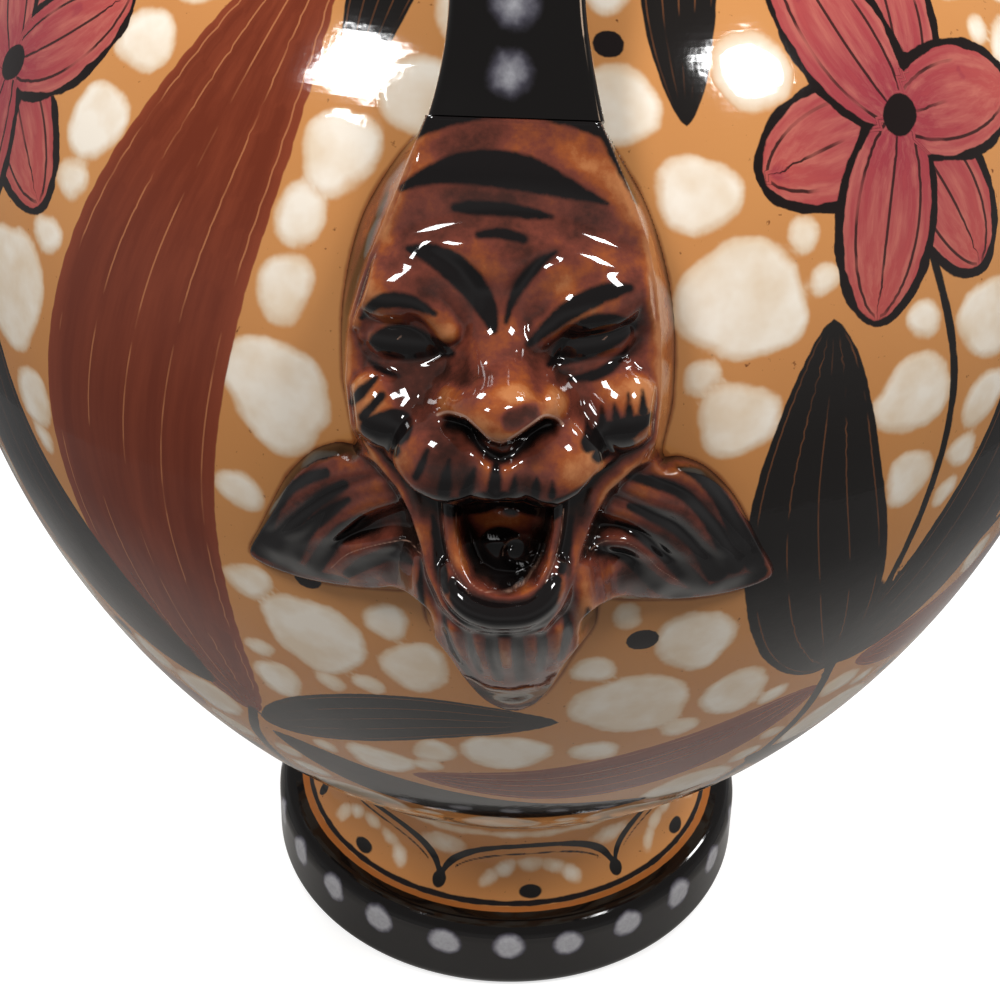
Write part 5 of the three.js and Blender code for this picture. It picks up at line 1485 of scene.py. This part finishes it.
    def shell(self, name, side, material):
        """One piece of the mask as a closed shell, smooth over its joints with its neighbours."""
        depths = np.stack(list(self.piece_depth.values()))
        mine = (depths.argmax(0) == list(self.piece_depth).index(name)) & (depths.max(0) > -0.45)
        used = np.zeros(self.u.shape, bool)
        for du in (0, 1):
            for dv in (0, 1):
                used[du : du + mine.shape[0], dv : dv + mine.shape[1]] |= mine
        count = int(used.sum())
        index = np.full(self.u.shape, -1)
        index[used] = np.arange(count)
        front = self.world(self.h)[used]
        back = self.world(np.minimum(self.body - 0.9, self.h - 0.3))[used]
        i, j = np.where(mine)
        a, b, c, d = index[i, j], index[i + 1, j], index[i + 1, j + 1], index[i, j + 1]
        faces = [np.stack([a, b, c, d], 1), np.stack([d, c, b, a], 1) + count]
        padded = np.pad(mine, 1)
        for du, dv, p, q in CELL_SIDES:
            i, j = np.where(mine & ~padded[1 + du : 1 + du + mine.shape[0], 1 + dv : 1 + dv + mine.shape[1]])
            p, q = index[i + p[0], j + p[1]], index[i + q[0], j + q[1]]
            faces.append(np.stack([q, p, p + count, q + count], 1))
        faces = np.vstack(faces)
        points = np.vstack([front, back])
        if side == "back":
            points = points * np.array([-1, -1, 1])
        mesh = bpy.data.meshes.new(f"{name}_{side}")
        mesh.from_pydata((points * MM).tolist(), [], faces.tolist())
        mesh.polygons.foreach_set("use_smooth", np.ones(len(faces), bool))
        for key in ("pool", "brush", "rim"):
            values = getattr(self, key)[used]
            store(mesh, **{key: np.concatenate([values, values])})
        self.set_normals(mesh, used, int(mine.sum()), faces, side)
        mesh.materials.append(material)
        piece = bpy.data.objects.new(mesh.name, mesh)
        bpy.context.scene.collection.objects.link(piece)
        return piece

    def set_normals(self, mesh, used, tops, faces, side):
        """Shade the front by the whole relief, so that no joint shows between neighbours."""
        du, dv = np.gradient(self.h, self.step)
        lean = MASK_LEAN * du
        normal = np.stack([-du, -(dv + lean), np.ones_like(du)], -1)
        normal /= np.linalg.norm(normal, axis=-1)[..., None]
        normal = normal[used] @ MASK_AXES
        if side == "back":
            normal = normal * np.array([-1, -1, 1])
        flat = np.empty(len(mesh.polygons) * 3)
        mesh.polygons.foreach_get("normal", flat)
        loops = np.repeat(flat.reshape(-1, 3), 4, axis=0)
        loops[: tops * 4] = normal[faces[:tops].ravel()]
        mesh.normals_split_custom_set(loops.tolist())


# ---------------------------------------------------------------- operators, one for each group of pieces


def glazes():
    """The vase's three glazes, made once."""
    colours = bpy.context.scene.vase_colours
    makers = {"painted_earthenware_glaze": painted_glaze, "black_slip_gloss_glaze": black_slip_glaze,
        "treacle_gloss_glaze": treacle_glaze}
    return [bpy.data.materials.get(name) or make(colours) for name, make in makers.items()]


def turned_piece(name, profile, steps, material, crowding=0.25):
    """A section turned from a closed line of radius and height."""
    tree = bpy.data.node_groups.get("Turned section") or turned_tree()
    path = [(r * MM, 0.0, z * MM) for r, z in profile]
    return grow(name, path, tree, {"Steps round": steps, "Crowding": crowding, "Glaze": material})


def blank_paint(points):
    """Every painted layer, with no brushwork yet."""
    far = np.full(len(points), FAR)
    none = np.zeros((len(points), 3))
    fields = {name: far for name in Painting.LAYERS + ("cream", "halo")}
    return fields | {name + "_lay": none for name in Painting.LAID}


def round_and_height(points):
    """Degrees round from the front, and height, of each point."""
    return np.degrees(np.arctan2(points[:, 0], -points[:, 1])), points[:, 2]


class VASE_OT_foot(bpy.types.Operator):
    """Make the black foot ring with its row of dots"""

    bl_idname = "vase.foot"
    bl_label = "Foot ring"

    def execute(self, context):
        sizes = context.scene.vase_sizes
        shape = Profiles(sizes)
        r, top = shape.foot, shape.foot_z
        outer = rounded([(47.5, 0), (r - 1.7, 0), (r, 2.2), (r - 0.3, top - 2.6), (r - 2.6, top),
            (46.7, top)], 2.3)
        inner = [(46.7, top - 4), (43.7, top - 4), (43.7, top - 7)]
        line = np.vstack([evenly(outer, 0.45), inner, [(47.5, 0)]])
        piece = turned_piece("foot_ring", line, 520, glazes()[1])
        points = points_of(piece.data)
        store(piece.data, arris=np.full(len(points), FAR), **self.dots(points, sizes.foot_dot / MM, r))
        dress(piece, "black_glaze", "foot_ring")
        return {"FINISHED"}

    @staticmethod
    def dots(points, radius, ring):
        """Twenty-four dots laid by hand, each a little off its place and size."""
        chance = np.random.default_rng(FOOT_SEED)
        dot = np.full(len(points), FAR)
        for i in range(FOOT_DOTS):
            azimuth = math.radians(2.6 + 360 / FOOT_DOTS * i + chance.uniform(-0.9, 0.9))
            z = 13.0 + chance.uniform(-0.5, 0.5)
            spot = np.array([ring * math.sin(azimuth), -ring * math.cos(azimuth), z])
            side = np.array([math.cos(azimuth), math.sin(azimuth), 0])
            off = points - spot
            wide, high = radius * chance.uniform(0.93, 1.08), radius * chance.uniform(0.92, 1.06)
            reach = np.sqrt((off @ side / wide) ** 2
                + ((np.linalg.norm(off, axis=1) ** 2 - (off @ side) ** 2)) / high**2)
            dot = np.minimum(dot, (reach - 1) * radius)
        r = np.hypot(points[:, 0], points[:, 1])
        band = np.where(points[:, 2] > 17, np.abs(r - 50.3) - 0.95, FAR)
        return {"dot": dot, "band": band}


class VASE_OT_stem(bpy.types.Operator):
    """Make the stem with its scalloped band"""

    bl_idname = "vase.stem"
    bl_label = "Stem"

    def execute(self, context):
        shape = Profiles(context.scene.vase_sizes)
        outer = evenly(shape.stem, 0.45)
        inner = evenly(inside(shape.stem, WALL)[2:-1], 3)[::-1]
        line = np.vstack([outer, [(37.5, 42)], inner, [(43.7, 14.6), (46.4, 14.6), (46.4, 18.3)], outer[:1]])
        piece = turned_piece("stem", line, 560, glazes()[0])
        points = points_of(piece.data)
        store(piece.data, **self.band(points))
        dress(piece, "ochre_glaze", "stem")
        return {"FINISHED"}

    @staticmethod
    def band(points):
        """Seven scallops, each an arch with an echo line, a fan of cream dashes and a black seed."""
        fields = blank_paint(points)
        azimuth, z = round_and_height(points)
        r = np.hypot(points[:, 0], points[:, 1])
        step = 360 / SCALLOPS
        local = (azimuth - 9 + step / 2) % step - step / 2
        x = np.radians(local) * r
        half = np.radians(step / 2) * r
        share = np.clip(np.abs(local) / (step / 2), 0, 1)
        arch = 20.9 + 10.2 * np.sqrt(np.clip(1 - share**2.3, 0, 1))
        slope = np.sqrt(1 + (0.55 * share) ** 2)
        line = np.abs(z - arch) / slope - (0.6 + 0.7 * share**3)
        echo = np.abs(z - arch + 2.1) / slope - 0.22
        echo = np.where(share < 0.84, echo, FAR)
        cusp = np.hypot(np.abs(x) - half, z - 21.4) - 1.6
        seed = np.hypot(x / 2.0, z - 20.8) - 1.3
        top = np.abs(z - 39.2) - 3.0
        low = np.abs(z - 18.8) - 0.45
        fields["leaf"] = np.minimum.reduce([line, cusp, seed, top])
        fields["ink"] = np.minimum(echo, low)
        cream = np.full(len(points), FAR)
        for angle in (-66, -34, 0, 34, 66):
            cx, cz = 10.4 * math.sin(math.radians(angle)), 20.9 + 5.6 * math.cos(math.radians(angle))
            c, s = math.cos(math.radians(angle * 0.6)), math.sin(math.radians(angle * 0.6))
            dx, dz = x - cx, z - cz
            dash = (np.hypot((dx * c - dz * s) / 2.3, (dx * s + dz * c) / 1.25) - 1) * 1.3
            cream = np.minimum(cream, dash)
        above = (np.hypot((np.abs(x) - half) / 3.6, (z - 29.6) / 1.7) - 1) * 1.4
        ring = np.abs(z - 34.4) - 0.5
        fields["cream"] = np.minimum.reduce([cream, above, ring]) - 0.4
        fields["leaf_lay"] = np.stack([share, 0 * x + 0.2, 0 * x + 1.0], 1)
        return fields


class VASE_OT_belly(bpy.types.Operator):
    """Make both halves of the belly and paint them"""

    bl_idname = "vase.belly"
    bl_label = "Belly"

    def execute(self, context):
        sizes = context.scene.vase_sizes
        shape = Profiles(sizes)
        paint = glazes()[0]
        z = shape.belly_z
        lower = np.vstack([
            [(0, 38), (37.2, 38), (37.2, 42)], evenly(shape.under, 1.02),
            [(109.4, z), (109.4, z - 4)], evenly(inside(shape.under, WALL)[24:-14], 7)[::-1], [(0, 47)]])
        upper = np.vstack([
            evenly(shape.shoulder, 1.02), [(37.5, 256), (37.5, 252), (35, 252)],
            evenly(inside(shape.shoulder, WALL)[8:-26], 7)[::-1],
                [(106.4, z - 3.7), (109.1, z - 3.7), (109.1, z)], [(shape.belly, z)]])
        placed = pebbles(shape, 252)
        for name, line in (("body_lower", lower), ("body_upper", upper)):
            piece = turned_piece(name, line, sizes.round_steps, paint)
            points = points_of(piece.data)
            art = paint_belly(shape, points)
            store(piece.data, cream=paint_pebbles(points, placed), halo=mask_gap(shape, points) - 0.25,
                **art.edge)
            store(piece.data, **{name + "_lay": art.lay[name] for name in art.LAID})
            dress(piece, "ochre_glaze", name)
        return {"FINISHED"}


class VASE_OT_neck(bpy.types.Operator):
    """Make the neck and the flared lip"""

    bl_idname = "vase.neck"
    bl_label = "Neck and lip"

    def execute(self, context):
        shape = Profiles(context.scene.vase_sizes)
        paint, black, _ = glazes()
        neck_in = evenly(inside(shape.neck, NECK_WALL)[3:-4], 1.6)[::-1]
        line = np.vstack([evenly(shape.neck, 0.8), [(37.5, 309), (37.5, 305)], neck_in,
            [(35, 252.3), (37.2, 252.3), (37.2, 256)], shape.neck[:1]])
        neck = turned_piece("neck", line, 320, paint, 0.15)
        points = points_of(neck.data)
        store(neck.data, **self.sprigs(points, shape))
        dress(neck, "ochre_glaze", "neck")
        rim = rounded([tuple(shape.lip[-1]), (shape.lip_r - 0.3, shape.top),
            (shape.lip_r - 3.9, shape.top), tuple(inside(shape.lip, NECK_WALL)[-3])], 1.2)
        lip_in = evenly(inside(shape.lip, NECK_WALL)[2:-3], 1.5)[::-1]
        line = np.vstack([evenly(shape.lip, 0.7)[:-1], rim, lip_in,
            [(35, 305.3), (37.2, 305.3), (37.2, 309)], shape.lip[:1]])
        lip = turned_piece("lip", line, 320, black, 0.15)
        points = points_of(lip.data)
        azimuth, z = round_and_height(points)
        r = np.hypot(points[:, 0], points[:, 1])
        off = np.radians((azimuth + 9) % 18 - 9) * r
        outer = r > np.interp(z, shape.lip[:, 1], shape.lip[:, 0]) - 2
        dot = np.where(outer & (z < 328), np.hypot(off, (z - 320.5) * 1.1) - 2.6, FAR)
        store(lip.data, dot=dot, band=np.where(outer, np.abs(z - 310.2) - 0.7, FAR),
            arris=np.full(len(points), FAR))
        dress(lip, "black_glaze", "lip")
        return {"FINISHED"}

    @staticmethod
    def sprigs(points, shape):
        """Small upright leaves and cream dashes round the neck."""
        fields = blank_paint(points)
        azimuth, z = round_and_height(points)
        r = np.hypot(points[:, 0], points[:, 1])
        for name, shift, low, high, width in (("leaf", 22.5, 258, 284, 4.6), ("rust", 0, 260, 302, 5.6)):
            local = (azimuth - shift + 22.5) % 45 - 22.5
            x = np.radians(local) * r
            t = np.clip((z - low) / (high - low), 0, 1)
            half = width * np.clip(4 * t * (1 - t), 0, 1) ** 0.8
            fields[name] = np.abs(x) - half + 4 * (np.abs(z - (low + high) / 2) > (high - low) / 2)
            fields[name + "_lay"] = np.stack([t, x / np.maximum(half, 0.4), half], 1)
        local = azimuth % 45 - 22.5
        x = np.radians(local) * r
        dash = np.full(len(points), FAR)
        for cx, cz, size in ((0, 291, 3.4), (7.5, 271, 2.6), (-7.5, 271, 2.6), (0, 302.5, 2.8)):
            dash = np.minimum(dash, np.hypot(x - cx, (z - cz) * 0.8) - size)
        fields["cream"] = dash
        fields["ink"] = np.minimum(np.abs(z - 306.3) - 0.5, np.abs(z - 257.2) - 0.7)
        outside = r > np.interp(z, shape.neck[:, 1], shape.neck[:, 0]) - 2
        return {
            name: field if name.endswith("_lay") else np.where(outside, field, FAR)
            for name, field in fields.items()}


class VASE_OT_straps(bpy.types.Operator):
    """Make the two handle straps"""

    bl_idname = "vase.straps"
    bl_label = "Handle straps"

    def execute(self, context):
        sizes = context.scene.vase_sizes
        shape = Profiles(sizes)
        end = mask_origin(shape) + np.array([0, 41.26, 9.5]) @ MASK_AXES
        rise = math.radians(34)
        leave = np.array([0, -math.cos(rise), math.sin(rise)])
        root = np.interp(295, shape.neck[:, 1], shape.neck[:, 0])
        first = np.array([0, -root / 2, 295.0])
        path = evenly(bezier(first, first + leave * 40, end + MASK_AXES[1] * 48, end, 200), 0.6)
        path = path[np.argmax(np.hypot(path[:, 0], path[:, 1]) > root - 3.5):]
        share = np.linspace(0, 1, len(path))
        path[:, 0] = -0.5 * ease(share, 0, 0.45) + 1.5 * ease(share, 0.62, 1)
        tree = bpy.data.node_groups.get("Handle strap") or strap_tree()
        for side, turn in (("front", 1), ("back", -1)):
            line = path * MM * np.array([turn, turn, 1])
            piece = grow(f"strap_{side}", line, tree, {
                "Width": STRAP_WIDTH * MM, "Thickness": STRAP_THICKNESS * MM, "Edge radius": STRAP_EDGE * MM,
                "Flare": STRAP_FLARE, "Glaze": glazes()[1]})
            points = points_of(piece.data) * np.array([turn, turn, 1])
            near = np.argmin(((points[:, None, 1:] - path[None, :, 1:]) ** 2).sum(-1), 1)
            flare = np.clip((share[near] - FLARE_FROM) / (1 - FLARE_FROM), 0, 1) ** FLARE_POWER
            half = STRAP_WIDTH / 2 * (1 + STRAP_FLARE * flare)
            # where the pale line runs along each strap edge: partly thin glaze, partly painted highlight
            arris = np.abs(np.abs(points[:, 0] - path[near, 0]) - half + 0.36) - 0.08
            store(piece.data, dot=0.42 * self.dots(points, path, sizes.strap_dot / MM),
                band=np.full(len(points), FAR), arris=arris)
            dress(piece, "black_glaze", f"strap_{side}")
        return {"FINISHED"}

    @staticmethod
    def dots(points, path, radius):
        """A row of dots down the outer face, one every 8 mm."""
        chance = np.random.default_rng(STRAP_SEED)
        run = np.concatenate([[0], np.cumsum(np.linalg.norm(np.diff(path, axis=0), axis=1))])
        along = np.gradient(path, axis=0)
        along /= np.linalg.norm(along, axis=1)[:, None]
        out = np.cross(along, [1, 0, 0])
        out *= np.sign(out[:, 2:3] + TINY)
        dot = np.full(len(points), FAR)
        for at in np.arange(run[-1] - 6.0, 4, -STRAP_DOT_STEP):
            i = np.searchsorted(run, at)
            spot = path[i] + out[i] * (STRAP_THICKNESS
                / 2) + np.array([chance.uniform(-0.4, 0.4) - 0.3, 0, 0])
            dot = np.minimum(dot, np.linalg.norm(points - spot, axis=1) - radius * chance.uniform(0.92, 1.06))
        return dot


class VASE_OT_masks(bpy.types.Operator):
    """Model the cat mask once and set it under both handles"""

    bl_idname = "vase.masks"
    bl_label = "Cat masks"

    def execute(self, context):
        sizes = context.scene.vase_sizes
        relief = Relief(Profiles(sizes), sizes.relief_grid / MM)
        slots = {"mask_jaw": "dark_treacle_glaze", "mask_tongue": "dark_treacle_glaze"}
        for side in ("front", "back"):
            for name in relief.piece_depth:
                piece = relief.shell(name, side, glazes()[2])
                dress(piece, slots.get(name, "treacle_glaze"), f"{name}_{side}")
        return {"FINISHED"}


class VASE_OT_studio(bpy.types.Operator):
    """Set the floor, the lamps, the world and the camera"""

    bl_idname = "vase.studio"
    bl_label = "Studio"

    def execute(self, context):
        scene = context.scene
        self.floor(scene)
        for name, lamp in LAMPS.items():
            self.lamp(scene, name, *lamp)
        self.world(scene)
        self.camera(scene)
        scene.view_settings.view_transform = "Standard"
        return {"FINISHED"}

    @staticmethod
    def floor(scene):
        mesh = bpy.data.meshes.new("floor")
        disc = bmesh.new()
        bmesh.ops.create_circle(disc, cap_ends=True, radius=FLOOR_RADIUS, segments=128)
        disc.to_mesh(mesh)
        disc.free()
        mesh.materials.append(studio_floor(scene.vase_colours))
        floor = bpy.data.objects.new("floor", mesh)
        scene.collection.objects.link(floor)

    @staticmethod
    def lamp(scene, name, azimuth, elevation, size, power):
        light = bpy.data.lights.new(name, "AREA")
        light.shape, light.size, light.energy = "SQUARE", size, power
        lamp = bpy.data.objects.new(name, light)
        a, e = math.radians(azimuth), math.radians(elevation)
        way = Vector((math.sin(a) * math.cos(e), -math.cos(a) * math.cos(e), math.sin(e)))
        lamp.location = LAMP_TARGET + LAMP_DISTANCE * way
        lamp.rotation_euler = (-way).to_track_quat("-Z", "Y").to_euler()
        scene.collection.objects.link(lamp)

    @staticmethod
    def world(scene):
        """A dim room for the light, and white behind the vase for the camera alone."""
        world = bpy.data.worlds.new("room")
        world.use_nodes = True
        tree = world.node_tree
        tree.nodes.clear()
        seen = put(tree, "ShaderNodeLightPath")["Is Camera Ray"]
        way = put(tree, "ShaderNodeSeparateXYZ", {0: put(tree, "ShaderNodeTexCoord")["Generated"]})
        level = put(tree, "ShaderNodeMath", {0: way[2]}, operation="ABSOLUTE")[0]
        walls = put(tree, "ShaderNodeMapRange",
            {"Value": level, "From Min": 0.0, "From Max": 0.5, "To Min": 0.28, "To Max": 0.16},
            interpolation_type="SMOOTHSTEP")[0]
        strength = put(tree, "ShaderNodeMapRange", {"Value": seen, "To Min": walls, "To Max": 1.0})[0]
        room = put(tree, "ShaderNodeBackground", {"Color": (1, 1, 1, 1), "Strength": strength})[0]
        put(tree, "ShaderNodeOutputWorld", {"Surface": room})
        scene.world = world

    @staticmethod
    def camera(scene):
        lens = bpy.data.cameras.new("camera")
        lens.lens, lens.sensor_width, lens.clip_start = LENS, SENSOR, 0.01
        camera = bpy.data.objects.new("camera", lens)
        level = math.cos(CAMERA_PITCH)
        forward = Vector((-math.sin(CAMERA_TURN) * level, math.cos(CAMERA_TURN) * level,
            -math.sin(CAMERA_PITCH)))
        right = Vector((math.cos(CAMERA_TURN), math.sin(CAMERA_TURN), 0))
        up = right.cross(forward)
        c, s = math.cos(CAMERA_ROLL), math.sin(CAMERA_ROLL)
        right, up = c * right + s * up, c * up - s * right
        turned = Matrix((right, up, -forward)).transposed()
        camera.matrix_world = Matrix.Translation(CAMERA_PLACE) @ turned.to_4x4()
        scene.collection.objects.link(camera)
        scene.camera = camera


class VASE_PT_panel(bpy.types.Panel):
    """The vase's pieces, in the order they are made"""

    bl_idname = "VASE_PT_panel"
    bl_label = "Painted vase"
    bl_space_type = "VIEW_3D"
    bl_region_type = "UI"
    bl_category = "Vase"

    def draw(self, context):
        layout = self.layout
        for operator in STEPS:
            layout.operator(operator.bl_idname)
        for group in (context.scene.vase_sizes, context.scene.vase_colours):
            box = layout.box()
            for name in group.__annotations__:
                box.prop(group, name)


STEPS = (VASE_OT_studio, VASE_OT_foot, VASE_OT_stem, VASE_OT_belly, VASE_OT_neck, VASE_OT_straps,
    VASE_OT_masks)
CLASSES = (VaseSizes, VaseColours, *STEPS, VASE_PT_panel)


def register():
    for item in CLASSES:
        bpy.utils.register_class(item)
    bpy.types.Scene.vase_sizes = PointerProperty(type=VaseSizes)
    bpy.types.Scene.vase_colours = PointerProperty(type=VaseColours)


def unregister():
    del bpy.types.Scene.vase_sizes, bpy.types.Scene.vase_colours
    for item in reversed(CLASSES):
        bpy.utils.unregister_class(item)


def main():
    register()
    for step in STEPS:
        group, name = step.bl_idname.split(".")
        getattr(getattr(bpy.ops, group), name)()
    bpy.context.view_layer.update()


if __name__ == "__main__":
    main()
